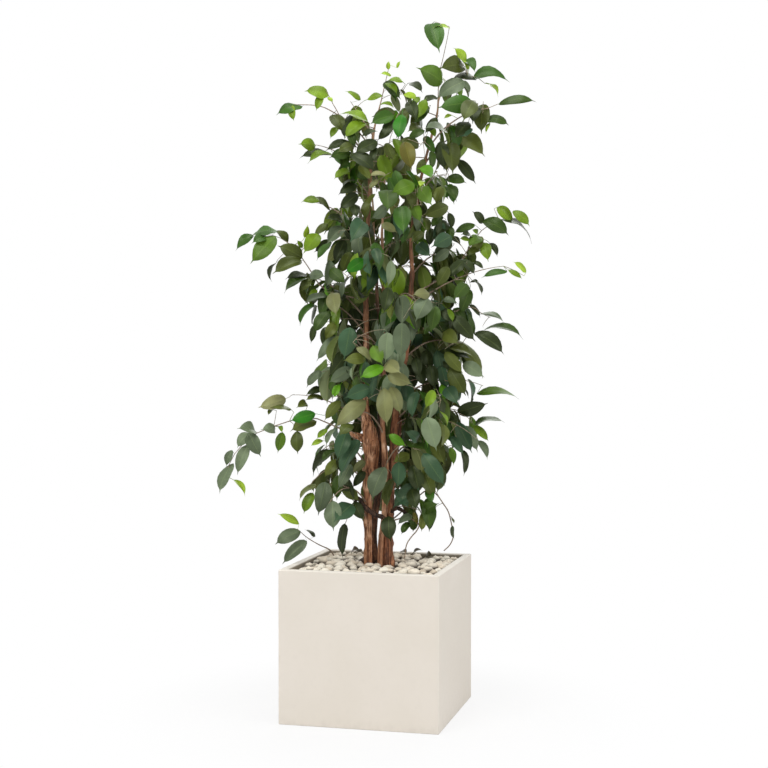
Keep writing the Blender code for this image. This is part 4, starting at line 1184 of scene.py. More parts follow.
def planter_finish():
    """Smooth cast stone, warm off-white, faintly clouded and pored, with a painted highlight that makes the
    rim's top paler and painted shade that makes the inside darker.
    """
    made = Finish("cast_stone")
    place = made.place()
    x, y, z = made.parts(place)
    clouds = made.noise(place, 7.0, 3.0)
    fine = made.noise(place, 55.0, 4.0)
    sand = made.noise(place, 1400.0, 2.0)
    pores = made.cells(place, 330.0).between(0.02, 0.10)
    body = made.mix(clouds.between(0.30, 0.70), colour(223, 215, 203), colour(226, 218, 207))
    body = made.mix(fine.between(0.45, 0.75) * 0.25, body, colour(219, 211, 199))
    # Painted light: the top of the rim is paler, as it faces the lamps.
    lit_rim_top = z.between(0.3745, 0.3778)
    body = made.mix(lit_rim_top * 0.55, body, colour(240, 235, 224))
    # Painted shade: the inside walls below the rim are darker, as they are shaded.
    shaded_inside = 1.0 - abs(x).between(0.183, 0.186)
    shaded_inside = shaded_inside * (1.0 - abs(y).between(0.183, 0.186)) * (1.0 - z.between(0.3735, 0.3775))
    body = made.mix(shaded_inside * 0.80, body, colour(112, 100, 78))
    foot = 1.0 - z.between(0.0, 0.03)
    body = made.mix(foot * 0.25 * fine.between(0.3, 0.7), body, colour(198, 190, 178))
    body = made.mix((1.0 - pores) * 0.18, body, colour(190, 182, 170))
    made.bump(sand * 0.25 + pores * 0.5 + fine * 0.35, 0.25, 0.0006)
    return made.finish(Base_Color=body, Roughness=0.52 + fine * 0.16)


def soil_finish():
    """Dark crumbly potting soil."""
    made = Finish("potting_soil")
    place = made.place()
    crumbs = made.cells(place, 240.0)
    damp = made.noise(place, 26.0, 4.0)
    body = made.mix(damp.between(0.35, 0.65), colour(46, 34, 26), colour(86, 66, 50))
    body = made.mix(crumbs.between(0.0, 0.6) * 0.5, body, colour(64, 50, 40))
    made.bump(crumbs + damp * 0.4, 0.9, 0.003)
    return made.finish(Base_Color=body, Roughness=0.85 + damp * 0.1)


# --- shapes ---


def unit(vectors):
    """Each vector divided by its length."""
    lengths = np.linalg.norm(vectors, axis=-1, keepdims=True)
    return vectors / np.maximum(lengths, 1e-9)


def in_plant(points):
    """Points given as across, behind and height, turned about Z into the model's frame."""
    points = np.asarray(points, float)
    x = points[..., 0] * TURN_COSINE - points[..., 1] * TURN_SINE
    y = points[..., 0] * TURN_SINE + points[..., 1] * TURN_COSINE
    return np.stack([x, y, points[..., 2]], axis=-1)


def smooth_through(points, shares):
    """A curve through the points: each stretch is a cubic whose slopes come from the neighbouring points."""
    points = np.asarray(points, float)
    extended = np.concatenate([[2 * points[0] - points[1]], points, [2 * points[-1] - points[-2]]])
    position = np.asarray(shares) * (len(points) - 1)
    index = np.clip(position.astype(int), 0, len(points) - 2)
    t = (position - index)[..., None]
    before, start, end, after = (extended[index + offset] for offset in range(4))
    cubic = (3 * start - before - 3 * end + after) * t**3
    square = (2 * before - 5 * start + 4 * end - after) * t**2
    return (2 * start + (end - before) * t + square + cubic) / 2


def add_object(name, data):
    """An object with this data, in the scene."""
    obj = bpy.data.objects.new(name, data)
    bpy.context.scene.collection.objects.link(obj)
    return obj


def piece_from(name, points, quads, material, replaced=(), smooth_angle=180.0):
    """A mesh of quads that rides on the plant's one body."""
    mesh = bpy.data.meshes.new(name)
    mesh.from_pydata(points.reshape(-1, 3), [], quads.reshape(-1, 4))
    mesh.shade_smooth()
    if smooth_angle < 180.0:
        mesh.set_sharp_from_angle(angle=math.radians(smooth_angle))
    mesh.materials.append(material)
    obj = add_object(name, mesh)
    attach(obj, "root")
    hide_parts(*replaced)
    return obj


def add_attribute(obj, name, values, domain="POINT"):
    """A number or a vector for each point or face, for the materials to read."""
    kind = "FLOAT" if values.ndim == 1 else "FLOAT_VECTOR"
    key = "value" if values.ndim == 1 else "vector"
    attribute = obj.data.attributes.new(name, kind, domain)
    attribute.data.foreach_set(key, np.ascontiguousarray(values, np.float32).reshape(-1))


def all_round(count):
    """That many angles, evenly round a circle."""
    return np.arange(count) * 2 * math.pi / count


def ring_quads(rings, sides):
    """The faces between rings of points, then those of both ends. Rings run along, and points go round."""
    ring = np.arange(rings - 1)[:, None] * sides
    spot = np.arange(sides)[None, :]
    following = (spot + 1) % sides
    walls = np.stack([ring + spot, ring + following, ring + sides + following, ring + sides + spot], axis=-1)
    # In the ring's second half a face starts at its next corner, so that a flat ring's two skins fold alike.
    walls[:, sides // 2 :] = np.roll(walls[:, sides // 2 :], -1, axis=-1)
    # An end is closed by a fan of quads from its first point.
    steps = np.arange(1, sides - 2, 2)
    fan = np.stack([np.zeros_like(steps), steps, steps + 1, steps + 2], axis=-1)
    return np.concatenate([walls.reshape(-1, 4), fan[:, ::-1], fan + (rings - 1) * sides])


def many(quads, copies, points_each):
    """The same faces for each of the copies, which have that many points each."""
    shift = np.arange(copies)[:, None, None] * points_each
    return (quads[None] + shift).reshape(-1, 4)


def tube_points(paths, radii, sides):
    """Round tubes: at each point of a path a circle square to it.

    paths is (tubes, points, 3) and radii (tubes, points). The circle's first axis is level and square to the
    tube's chord, made square to the path, and its second is the path's direction times the first.
    """
    ahead = unit(np.gradient(paths, axis=1))
    chord = unit(paths[:, -1] - paths[:, 0])
    level = np.cross(chord, UP)
    upright = np.linalg.norm(level, axis=-1, keepdims=True) < 0.05
    level = np.where(upright, np.array([1.0, 0.0, 0.0]), level)[:, None]
    first = unit(level - ahead * (level * ahead).sum(-1, keepdims=True))
    second = np.cross(ahead, first)
    angle = all_round(sides)
    circle = first[:, :, None] * np.cos(angle)[:, None] + second[:, :, None] * np.sin(angle)[:, None]
    return paths[:, :, None] + circle * radii[:, :, None, None]


# The stations of a leaf's blade, and the eight points of each ring: a margin, three points of the upper skin,
# the other margin and three points of the lower skin. One more ring is the stalk's end on its twig.
BLADE = np.array([0.0, 0.05, 0.15, 0.28, 0.42, 0.55, 0.67, 0.78, 0.87, 1.0])
RING_ACROSS = np.array([-1.0, -0.5, 0.0, 0.5, 1.0, 0.5, 0.0, -0.5])
RING_SKIN = np.array([0.0, 1.0, 1.0, 1.0, 0.0, -1.0, -1.0, -1.0])
BODY_SHARE = 0.88
DRIP_TIP_FROM = 0.66
Leaves = namedtuple("Leaves", "root foot forward face length width curl fold wave twist tint")


def blade_outline():
    """The half width at each station t of the blade, 1 at the widest.

    It is s^0.68 times (1 - s)^0.78, where s is t over BODY_SHARE and at most 1, or the drip tip's 0.30 times
    (1 - t)^0.6 where t is past DRIP_TIP_FROM and that is more.
    """
    body = np.clip(BLADE / BODY_SHARE, 0.0, 1.0)
    round_part = body**0.68 * (1 - body) ** 0.78
    drip_tip = np.where(BLADE > DRIP_TIP_FROM, 0.30 * (1 - BLADE) ** 0.6, 0.0)
    return np.maximum(round_part / round_part.max(), drip_tip)


def midrib(curl):
    """The bend of a blade of length 1 at each station t, curl times t^1.2, and how far out and down it is."""
    turn = curl[:, None] * BLADE**1.2
    middle_turn = (turn + np.concatenate([turn[:, :1], turn[:, :-1]], axis=1)) / 2
    step = np.diff(BLADE, prepend=0.0)
    out = np.cumsum(np.cos(middle_turn) * step, axis=1)
    down = np.cumsum(np.sin(middle_turn) * step, axis=1)
    return turn, out, down


def leaf_points(leaves):
    """Every point of every leaf, as (leaves, stations, ring, 3).

    The stalk runs straight from the twig to the blade's foot. The blade's midrib bends down from
    forward, away from face. Its halves rise by fold, then curve down with the square of the distance from the
    midrib, and their margins wave. The blade rolls about its midrib by twist.
    """
    turn, out, down = midrib(leaves.curl)
    outline = blade_outline()
    length = leaves.length[:, None, None]
    forward = leaves.forward[:, None]
    face = leaves.face[:, None]
    middle = leaves.foot[:, None] + (forward * out[..., None] - face * down[..., None]) * length
    normal = forward * np.sin(turn)[..., None] + face * np.cos(turn)[..., None]
    side = np.cross(leaves.forward, leaves.face)[:, None]
    roll = leaves.twist[:, None, None] * BLADE[None, :, None]
    side, normal = side * np.cos(roll) + normal * np.sin(roll), normal * np.cos(roll) - side * np.sin(roll)
    half = leaves.width[:, None] / 2 * outline + STALK_RADIUS * (1 - BLADE)
    fold = leaves.fold[:, None, None]
    across = half[..., None] * RING_ACROSS * np.cos(fold)
    phase, pace = leaves.wave[:, :1, None], leaves.wave[:, 1:, None]
    ripple = np.sin(phase + BLADE[:, None] * pace + 2 * np.sign(RING_ACROSS))
    bend = (0.16 * ripple - 0.24) * RING_ACROSS**2
    lift = half[..., None] * (np.abs(RING_ACROSS) * np.sin(fold) + bend)
    thickness = BLADE_HALF_THICKNESS + (STALK_RADIUS - BLADE_HALF_THICKNESS) * (1 - BLADE[:, None]) ** 6
    lift = lift + RING_SKIN * thickness
    blade = middle[:, :, None] + side[:, :, None] * across[..., None] + normal[:, :, None] * lift[..., None]
    stalk = blade[:, :1] + (leaves.root - leaves.foot)[:, None, None]
    return np.concatenate([stalk, blade], axis=1)


def leaves_piece(name, leaves, material, replaced):
    """All leaves of one branch as one piece, with what the leaf finish reads."""
    count = len(leaves.length)
    rings = 1 + len(BLADE)
    sides = len(RING_ACROSS)
    points = leaf_points(leaves)
    quads = ring_quads(rings, sides)
    faces = many(quads, count, rings * sides)
    obj = piece_from(name, points, faces, material, replaced, LEAF_CREASE)
    grid = np.zeros((count, rings, sides, 3))
    grid[..., 0] = RING_ACROSS
    grid[:, 1:, :, 1] = BLADE[:, None]
    # The third number picks which half of the blade gets the painted shade.
    grid[..., 2] = np.sin(leaves.wave[:, :1, None] * 7.0)
    add_attribute(obj, "blade", grid.reshape(-1, 3))
    tint = np.broadcast_to(leaves.tint[:, None, None], (count, rings, sides, 3))
    add_attribute(obj, "tint", tint.reshape(-1, 3))
    under = np.zeros(len(quads))
    under[: (rings - 1) * sides] = np.tile(np.arange(sides) >= sides // 2, rings - 1)
    add_attribute(obj, "underside", np.tile(under, count), "FACE")
    return obj


# --- the plant ---


def stem_at(stem, height):
    """The stem's centre and radius at a height."""
    table = np.array(STEM_POINTS[stem])
    mixed = [np.interp(height, table[:, 2], table[:, column]) for column in (0, 1, 3)]
    return in_plant((mixed[0], mixed[1], height)), mixed[2]


def branch_path(branch):
    """The branch's own route, or a quadratic curve from the stem's centre to its tip, raised by its arch."""
    share = TWIG_SHARES
    if branch.name in ROUTES:
        return smooth_through(in_plant(ROUTES[branch.name]), share[:, 0])
    start, _ = stem_at(branch.stem, branch.start)
    tip = in_plant((branch.across, branch.behind, branch.height))
    middle = (start + tip) / 2 + UP * 2 * branch.arch
    path = start * (1 - share) ** 2 + middle * 2 * share * (1 - share) + tip * share**2
    sideways = unit(np.cross(tip - start, UP) + NUDGE)
    zigzag = np.where(np.arange(TWIG_POINTS) % 2, 1.0, -1.0)[:, None] * np.sin(share * math.pi)
    return path + sideways * zigzag * TWIG_ZIGZAG


def shoot_path(start, ahead, chance, length, side):
    """A side shoot: it sets off between the twig's direction and its side, then droops with the square of its
    length."""
    level = unit(np.cross(ahead, UP) + NUDGE)
    heading = unit(ahead * 0.55 + level * side * chance.uniform(0.55, 0.95) + UP * chance.uniform(-0.1, 0.35))
    droop = chance.uniform(0.18, 0.42)
    return start + heading * length * TWIG_SHARES - UP * length * droop * TWIG_SHARES**2


def greens_for(heights, chance):
    """A green for each leaf, of its height's mixture, a little lighter or darker than written."""
    low = np.array([colour(*GREENS[name]) for name in LOW_GREENS])
    top = np.array([colour(*GREENS[name]) for name in TOP_GREENS])
    pick = chance.integers(0, len(LOW_GREENS), len(heights))
    is_top = chance.random(len(heights)) < np.interp(heights, GREENS_CHANGE, (0.0, 1.0))
    tint = np.where(is_top[:, None], top[pick], low[pick])
    return tint * chance.uniform(0.78, 1.22, (len(heights), 1))


def leaf_waves(count, chance):
    """The start and the pace of the waves along each blade's margins."""
    return np.stack([chance.uniform(0, ANY_PHASE, count), chance.uniform(4.0, 9.0, count)], axis=-1)


def leaves_along(path, size, chance, first_at=FIRST_LEAF):
    """Leaves by turns on the two sides of a path, and one at its tip, which carries on with the twig."""
    steps = np.linalg.norm(np.diff(path, axis=0), axis=1)
    far = np.concatenate([[0.0], np.cumsum(steps)])
    total = far[-1]
    count = max(2, int(total * (1 - first_at) / LEAF_SPACING))
    share = first_at + (1 - first_at) * (np.arange(count) + 1) / count
    share[:-1] += chance.uniform(-0.2, 0.2, count - 1) / count
    distance = np.clip(share, 0.0, 1.0) * total
    root = np.stack([np.interp(distance, far, path[:, axis]) for axis in range(3)], axis=-1)
    slope = np.gradient(path, far, axis=0)
    ahead = unit(np.stack([np.interp(distance, far, slope[:, axis]) for axis in range(3)], axis=-1))
    level = unit(np.cross(ahead, UP) + NUDGE)
    above = np.cross(level, ahead)
    turn = np.where(np.arange(count) % 2, 0.0, math.pi) + chance.normal(0.0, 0.5, count)
    outward = level * np.cos(turn)[:, None] + above * np.sin(turn)[:, None]
    is_tip = (np.arange(count) == count - 1)[:, None]
    stalk = unit(ahead * np.where(is_tip, 1.2, 0.5) + outward * np.where(is_tip, 0.2, 0.8) + UP * 0.3)
    foot = root + stalk * STALK_LENGTH * chance.uniform(0.7, 1.4, (count, 1))
    yaw = np.arctan2(root[:, 1], root[:, 0] - 0.02) + chance.normal(0.0, 0.8, count)
    away = np.stack([np.cos(yaw), np.sin(yaw), np.zeros(count)], axis=-1)
    tilt = chance.uniform(0.35, 1.9, count)[:, None]
    forward = unit(outward * 0.40 + ahead * 0.35 + away * 0.35 - UP * tilt)
    facing = UP * 0.5 + away * 0.85 + chance.normal(0.0, 0.38, (count, 3))
    face = unit(facing - forward * (facing * forward).sum(-1, keepdims=True))
    length = size * BLADE_LENGTH * chance.uniform(0.74, 1.10, count)
    length = length * np.where(share > YOUNG_FROM, chance.uniform(0.62, 0.9, count), 1.0)
    tint = greens_for(root[:, 2], chance)
    bright = (share > YOUNG_FROM) & (chance.random(count) < BRIGHT_YOUNG)
    tint = np.where(bright[:, None], np.array(colour(*GREENS["bright"])), tint)
    return Leaves(
        root, foot, forward, face, length,
        width=length * BLADE_WIDTH_SHARE * chance.uniform(0.86, 1.12, count),
        curl=chance.uniform(0.25, 1.45, count),
        fold=chance.uniform(0.10, 0.80, count),
        wave=leaf_waves(count, chance),
        twist=chance.normal(0.0, 0.32, count),
        tint=tint,
    )


def in_view(across, behind, height):
    """Places as seen on the plant's middle plane, moved to their depth along the line of sight."""
    nearer = 1 + behind / CAMERA_BACK
    moved_across = CAMERA_ACROSS + (across - CAMERA_ACROSS) * nearer
    moved_height = CAMERA_HEIGHT + (height - CAMERA_HEIGHT) * nearer
    return in_plant(np.stack([moved_across, behind, moved_height], axis=-1))


def set_leaves(rows, twig_points, chance):
    """The sprigs that carry the leaves far from any twig, and the leaves of a branch that are set one by one.

    A blade's chord runs from its foot to its tip. A row that is short for its width is a blade whose tip
    comes nearer to the viewer, and a narrow row is a blade whose face turns up, so that less of it shows. The
    bend turns the chord down from the blade's first direction, so that direction is the chord turned back up
    by the same angle.
    """
    numbers = np.array([row[:7] for row in rows])
    across, height, tip_across, tip_height, behind, width, show = numbers.T
    count = len(rows)
    seen = np.hypot(tip_across - across, tip_height - height)
    nearer = np.sqrt(np.clip((width * SEEN_ASPECT) ** 2 - seen**2, 0.0, MOST_NEARER**2))
    foot = in_view(across, behind, height)
    tip = in_view(tip_across, behind - TIP_NEARER - nearer, tip_height)
    length = np.linalg.norm(tip - foot, axis=-1)
    curl = np.clip(1.70 - show, 0.45, 1.35) * chance.uniform(0.8, 1.25, count)
    _, out, down = midrib(curl)
    reach = np.hypot(out[:, -1], down[:, -1])
    dip = np.arctan2(down[:, -1], out[:, -1])[:, None]
    chord = unit(tip - foot)
    viewer = in_plant((0.0, -1.0, 0.0))
    sight = unit(viewer - chord * (chord @ viewer)[:, None])
    upward = np.cross(chord, sight)
    upright = upward[:, 2] + 0.25 * chance.normal(0.0, 1.0, count)
    upward = upward * np.where(upright < 0, -1.0, 1.0)[:, None]
    slant = np.maximum(
        np.arccos(np.clip(width / (BLADE_WIDTH_SHARE * length), 0.0, 1.0)),
        np.arctan2(1 - show, show) * np.abs(upward[:, 2]),
    )
    slant = np.clip(slant + chance.normal(0.0, 0.22, count), 0.0, 1.15)
    normal = sight * np.cos(slant)[:, None] + upward * np.sin(slant)[:, None]
    fold = chance.uniform(0.12, 0.68, count)
    widest = np.clip(width * 0.90 / np.cos(slant) / np.cos(fold), 0.34 * length, 0.68 * length)
    # The bend and the fold stand out from the chord, so that the blade is moved back by about half of that.
    foot = foot - normal * (length * curl * 0.06 + widest * 0.25 * (np.sin(fold) - 0.24))[:, None]
    forward = chord * np.cos(dip) + normal * np.sin(dip)
    face = normal * np.cos(dip) - chord * np.sin(dip)
    gaps = np.linalg.norm(foot[:, None] - twig_points[None], axis=-1)
    nearest = twig_points[np.argmin(gaps, axis=1)]
    is_far = gaps.min(axis=1) > LONGEST_STALK
    from_twig = unit(foot - nearest)
    joint = foot - unit(chord * 0.6 + from_twig * 0.6) * STALK_LENGTH * 0.8
    root = np.where(is_far[:, None], joint, nearest)
    sprigs = []
    for start, end in zip(nearest[is_far], joint[is_far]):
        # A sprig passes behind the leaves, and rises by less than it goes back.
        bulge = (UP * 0.06 - viewer * 0.20) * np.linalg.norm(end - start) * np.sin(TWIG_SHARES * math.pi)
        sprigs.append((start + (end - start) * TWIG_SHARES + bulge, SPRIG_RADIUS, SHOOT_TIP_RADIUS))
    tint = np.array([colour(*GREENS[row[7]]) for row in rows])
    leaves = Leaves(
        root, foot, forward, face,
        length=length / reach * 1.07,
        width=widest,
        curl=curl,
        fold=fold,
        wave=leaf_waves(count, chance),
        twist=chance.normal(0.0, 0.24, count),
        tint=tint * chance.uniform(0.90, 1.10, (count, 1)),
    )
    return sprigs, leaves


def from_front(points):
    """Across and height of points as seen on the plant's middle plane, and how far behind it they are."""
    across = points[..., 0] * TURN_COSINE + points[..., 1] * TURN_SINE
    behind = points[..., 1] * TURN_COSINE - points[..., 0] * TURN_SINE
    nearer = 1 + behind / CAMERA_BACK
    seen_across = CAMERA_ACROSS + (across - CAMERA_ACROSS) / nearer
    seen_height = CAMERA_HEIGHT + (points[..., 2] - CAMERA_HEIGHT) / nearer
    return seen_across, behind, seen_height


def spine(leaves, shares):
    """Points of the leaves at these shares of the straight line from foot to tip."""
    _, out, down = midrib(leaves.curl)
    length = leaves.length[:, None]
    chord = (leaves.forward * out[:, -1:] - leaves.face * down[:, -1:]) * length
    return leaves.foot[:, None] + chord[:, None] * np.asarray(shares)[None, :, None]


def in_crown(across, height, margin):
    """Which places seen from the front are in the crown, moved out by a margin, and how wide it is there."""
    heights, lefts, rights = np.array(CROWN).T
    left = np.interp(height, heights, lefts) - margin
    right = np.interp(height, heights, rights) + margin
    inside = (across > left) & (across < right) & (height > heights[0]) & (height < heights[-1])
    return inside, right - left


def before_trunks(across, height):
    """Which places seen from the front are in the window that shows the trunks."""
    return (across > TRUNK_WINDOW[0]) & (across < TRUNK_WINDOW[1]) & (height < TRUNK_WINDOW_TOP)


def cut_at_crown(path):
    """The part of a shoot before it leaves the crown or passes before the trunks, with as many points.

    It is empty where the shoot starts outside.
    """
    across, behind, height = from_front(path)
    inside, _ = in_crown(across, height, 0.0)
    inside &= ~(before_trunks(across, height) & (behind < STEM_FRONT))
    last = int(np.argmin(np.append(inside, False))) - 1
    if last < 2:
        return path[:0]
    return closely(path, np.linspace(0.0, last / (len(path) - 1), len(path)))


def closely(path, shares):
    """Points of a path at these shares of its number of steps."""
    steps = np.linspace(0.0, 1.0, len(path))
    return np.stack([np.interp(shares, steps, path[:, axis]) for axis in range(3)], axis=-1)


def held_by(path, leaves):
    """The leaves whose stalks start on a path, which may be empty."""
    if not len(path):
        return Leaves(*(values[:0] for values in leaves))
    close = closely(path, GRIP_SHARES)
    gaps = np.linalg.norm(leaves.root[:, None] - close[None], axis=-1)
    return Leaves(*(values[gaps.min(axis=1) < TWIG_GRIP] for values in leaves))


def trimmed(twigs, holders):
    """The twigs as far as the last place where each holds a leaf or a shoot, without those that hold none."""
    kept = []
    for path, base, end in twigs:
        close = closely(path, GRIP_SHARES)
        held = (np.linalg.norm(close[:, None] - holders[None], axis=-1) < TWIG_GRIP).any(axis=1)
        if not held[HELD_FROM:].any():
            continue
        last = GRIP_SHARES[np.flatnonzero(held)[-1]]
        kept.append((closely(path, np.linspace(0.0, last, len(path))), base, end))
    return kept


def thinned(leaves, placed):
    """The grown leaves in the crown, off the trunks and openings, and hiding no listed leaf."""
    across, behind, height = from_front(spine(leaves, (0.1, 0.5, 1.0)))
    inside, reach = in_crown(across, height, CROWN_MARGIN)
    keep = (inside & (np.abs(behind) < reach / 2 + CROWN_DEEPER)).all(axis=1)
    keep &= ~(before_trunks(across, height) & (behind < TRUNKS_BACK)).any(axis=1)
    for centre, level, half_width, half_height, depth in OPENINGS:
        opening = np.hypot((across - centre) / half_width, (height - level) / half_height) < 1.0
        keep &= ~(opening & (behind < depth)).any(axis=1)
    seen = from_front(spine(placed, (0.2, 0.5, 0.8)))
    set_across, set_behind, set_height = (values.reshape(-1) for values in seen)
    for column in range(across.shape[1]):
        gap = np.hypot(across[:, column, None] - set_across, height[:, column, None] - set_height)
        in_front = behind[:, column, None] < set_behind + HIDING_DEPTH
        keep &= ~((gap < HIDING_REACH) & in_front).any(axis=1)
    return Leaves(*(values[keep] for values in leaves))


def joined(groups):
    """Several groups of leaves as one."""
    return Leaves(*(np.concatenate(parts) for parts in zip(*groups)))


def grow_branch(branch, chance):
    """The branch's twigs as (path, base radius, tip radius) and its leaves."""
    path = branch_path(branch)
    length = np.linalg.norm(np.diff(path, axis=0), axis=1).sum()
    _, stem_radius = stem_at(branch.stem, branch.start)
    base_radius = min(TWIG_BASE_RADIUS, stem_radius * 0.75)
    twigs = [(path, base_radius, TWIG_TIP_RADIUS)]
    groups = [leaves_along(path, branch.leaf_size, chance)]
    for number in range(branch.shoots):
        share = 0.15 + 0.50 * (number + 0.5 * chance.random()) / max(1, branch.shoots)
        index = int(share * (TWIG_POINTS - 1))
        ahead = unit(path[index + 1] - path[index])
        side = 1.0 if number % 2 else -1.0
        reach = length * chance.uniform(0.32, 0.50)
        shoot = shoot_path(path[index], ahead, chance, reach, side)
        seen = cut_at_crown(shoot)
        if len(seen):
            twigs.append((seen, base_radius * 0.6, SHOOT_TIP_RADIUS))
        groups.append(held_by(seen, leaves_along(shoot, branch.leaf_size * 0.95, chance)))
    return twigs, joined(groups)


def grow_inner_shoots(chance):
    """Short leafy shoots straight from the stems, which fill the middle of the plant."""
    twigs = []
    groups = []
    for stem, low, high, count in INNER_SHOOTS:
        for number in range(count):
            height = low + (high - low) * (number + chance.random() * 0.8) / count
            start, _ = stem_at(stem, height)
            angle = number * 2.4 + chance.uniform(-0.4, 0.4)
            heading = np.array([math.cos(angle), math.sin(angle), chance.uniform(0.1, 0.5)])
            reach = chance.uniform(0.09, 0.16)
            path = start + unit(heading) * reach * TWIG_SHARES - UP * reach * 0.3 * TWIG_SHARES**2
            seen = cut_at_crown(path)
            if len(seen):
                twigs.append((seen, INNER_SHOOT_RADIUS, SHOOT_TIP_RADIUS))
            groups.append(held_by(seen, leaves_along(path, 0.95, chance, 0.2)))
    return twigs, joined(groups)


def twigs_piece(name, twigs, material, replaced=()):
    """All twigs as one piece. Age is the radius as a share of the thickest foot's."""
    paths = np.array([path for path, _, _ in twigs])
    count = paths.shape[1]
    share = np.linspace(0.0, 1.0, count)
    foot = np.array([[base] for _, base, _ in twigs])
    tip = np.array([[end] for _, _, end in twigs])
    radii = foot * (1 - share) + tip * share
    radii = radii * (1 + 0.05 * np.cos(np.arange(count) * math.pi))
    points = tube_points(paths, radii, TWIG_SIDES)
    quads = many(ring_quads(count, TWIG_SIDES), len(paths), count * TWIG_SIDES)
    obj = piece_from(name, points, quads, material, replaced, TWIG_CREASE)
    age = np.broadcast_to((radii / TWIG_BASE_RADIUS)[:, :, None], points.shape[:3])
    add_attribute(obj, "age", age.reshape(-1))
    return obj


def lump(angle, z, direction, height, half_height, half_width):
    """1 at a height and in a direction, falling off both ways as a bell curve."""
    turned = (angle - direction + math.pi) % (2 * math.pi) - math.pi
    return np.exp(-(((z - height) / half_height) ** 2)) * np.exp(-((turned / half_width) ** 2))


def stem_piece(name, material, chance):
    """A stem: level circles along a smooth curve through its points, with ridges, leaf scars and knobs.

    The radius is multiplied by 1 plus ridges, which are sines of the angle that turn slowly with height, plus
    swellings, which are sines of the height, plus a bell-shaped ring at each leaf scar, plus a flare at the
    soil. Then a bell-shaped lump is added for each knob, and for the collar where each branch leaves.
    """
    table = np.array(STEM_POINTS[name])
    count = int((table[-1, 2] - table[0, 2]) / STEM_STEP)
    heights = np.linspace(table[0, 2], table[-1, 2], count)
    shares = np.interp(heights, table[:, 2], np.linspace(0, 1, len(table)))
    curve = smooth_through(table, shares)
    path = in_plant(curve[:, :3])
    waver = STEM_WAVER * np.clip((heights - 0.4) * 8, 0, 1)
    path[:, 0] += waver * np.sin(heights * 41.0 + len(name))
    path[:, 1] += waver * np.sin(heights * 33.0 + 1.7)
    angle = all_round(STEM_SIDES)
    z = heights[:, None]
    phases = chance.uniform(0, ANY_PHASE, len(STEM_RIDGES) + len(STEM_SWELLS))
    ridges = 0.0
    for (rise, number, turn), phase in zip(STEM_RIDGES, phases):
        ridges = ridges + rise * np.sin(number * angle + z * turn + phase)
    swell = 0.0
    for (rise, pace), phase in zip(STEM_SWELLS, phases[len(STEM_RIDGES) :]):
        swell = swell + rise * np.sin(z * pace + phase)
    scars = chance.uniform(table[1, 2], table[-1, 2], STEM_SCARS)
    scar = (np.exp(-(((z[..., None] - scars) / SCAR_HALF_HEIGHT) ** 2)) * SCAR_SHARE).sum(-1)
    flare = FLARE_SHARE * np.exp(-np.maximum(z - FLARE_HEIGHT, 0) / FLARE_REACH)
    flare = flare * (1 + 0.5 * np.sin(4 * angle + phases[1]))
    radius = curve[:, 3:4] * (1 + ridges + swell + scar + flare)
    for owner, height, direction, rise, half_height, half_width in STEM_KNOBS:
        if owner == name:
            heading = math.radians(direction) + PLANT_TURN
            radius = radius + rise * lump(angle, z, heading, height, half_height, half_width)
    half_height, half_width, rise = BRANCH_COLLAR
    for branch in BRANCHES:
        if branch.stem == name:
            tip = in_plant((branch.across, branch.behind, 0.0))
            heading = math.atan2(tip[1], tip[0])
            radius = radius + rise * lump(angle, z, heading, branch.start, half_height, half_width)
    circle = np.stack([np.cos(angle), np.sin(angle), np.zeros(STEM_SIDES)], axis=-1)
    points = path[:, None] + circle[None] * radius[..., None]
    quads = ring_quads(count, STEM_SIDES)
    obj = piece_from(name + "_bark", points, quads, material, (name,), STEM_CREASE)
    age = np.clip((curve[:, 3] - 0.002) / 0.007, 0.0, 1.0)
    add_attribute(obj, "age", np.repeat(age, STEM_SIDES))
    return obj


def stub_piece(material):
    """The cut side shoot on the first stem: a short straight tube, thick at its foot, with a blunt end."""
    foot, _ = stem_at("stem_1", STUB_HEIGHT)
    outward = in_plant((-1.0, -0.25, 0.0))
    share = np.array(STUB_SHARES)[:, None]
    path = foot + outward * STUB_OUT * share + UP * STUB_UP * share
    points = tube_points(path[None], np.array([STUB_RADII]), STUB_SIDES)
    obj = piece_from("stem_1_cut_shoot", points, ring_quads(len(share), STUB_SIDES), material)
    add_attribute(obj, "age", np.ones(len(share) * STUB_SIDES))
    return obj


def roots_piece(material):
    """The dark roots that cross in front of the stems, as tubes along smooth curves with knots."""
    shares = np.linspace(0.0, 1.0, ROOT_POINTS)
    curves = np.array([smooth_through(route, shares) for route in CROSSING_ROOTS])
    radii = curves[..., 3] * (1 + 0.10 * np.sin(shares * 34) + 0.07 * np.sin(shares * 71))
    points = tube_points(in_plant(curves[..., :3]), radii, ROOT_SIDES)
    quads = many(ring_quads(ROOT_POINTS, ROOT_SIDES), len(curves), ROOT_POINTS * ROOT_SIDES)
    obj = piece_from("crossing_roots", points, quads, material)
    add_attribute(obj, "age", np.ones(len(curves) * ROOT_POINTS * ROOT_SIDES))
    return obj


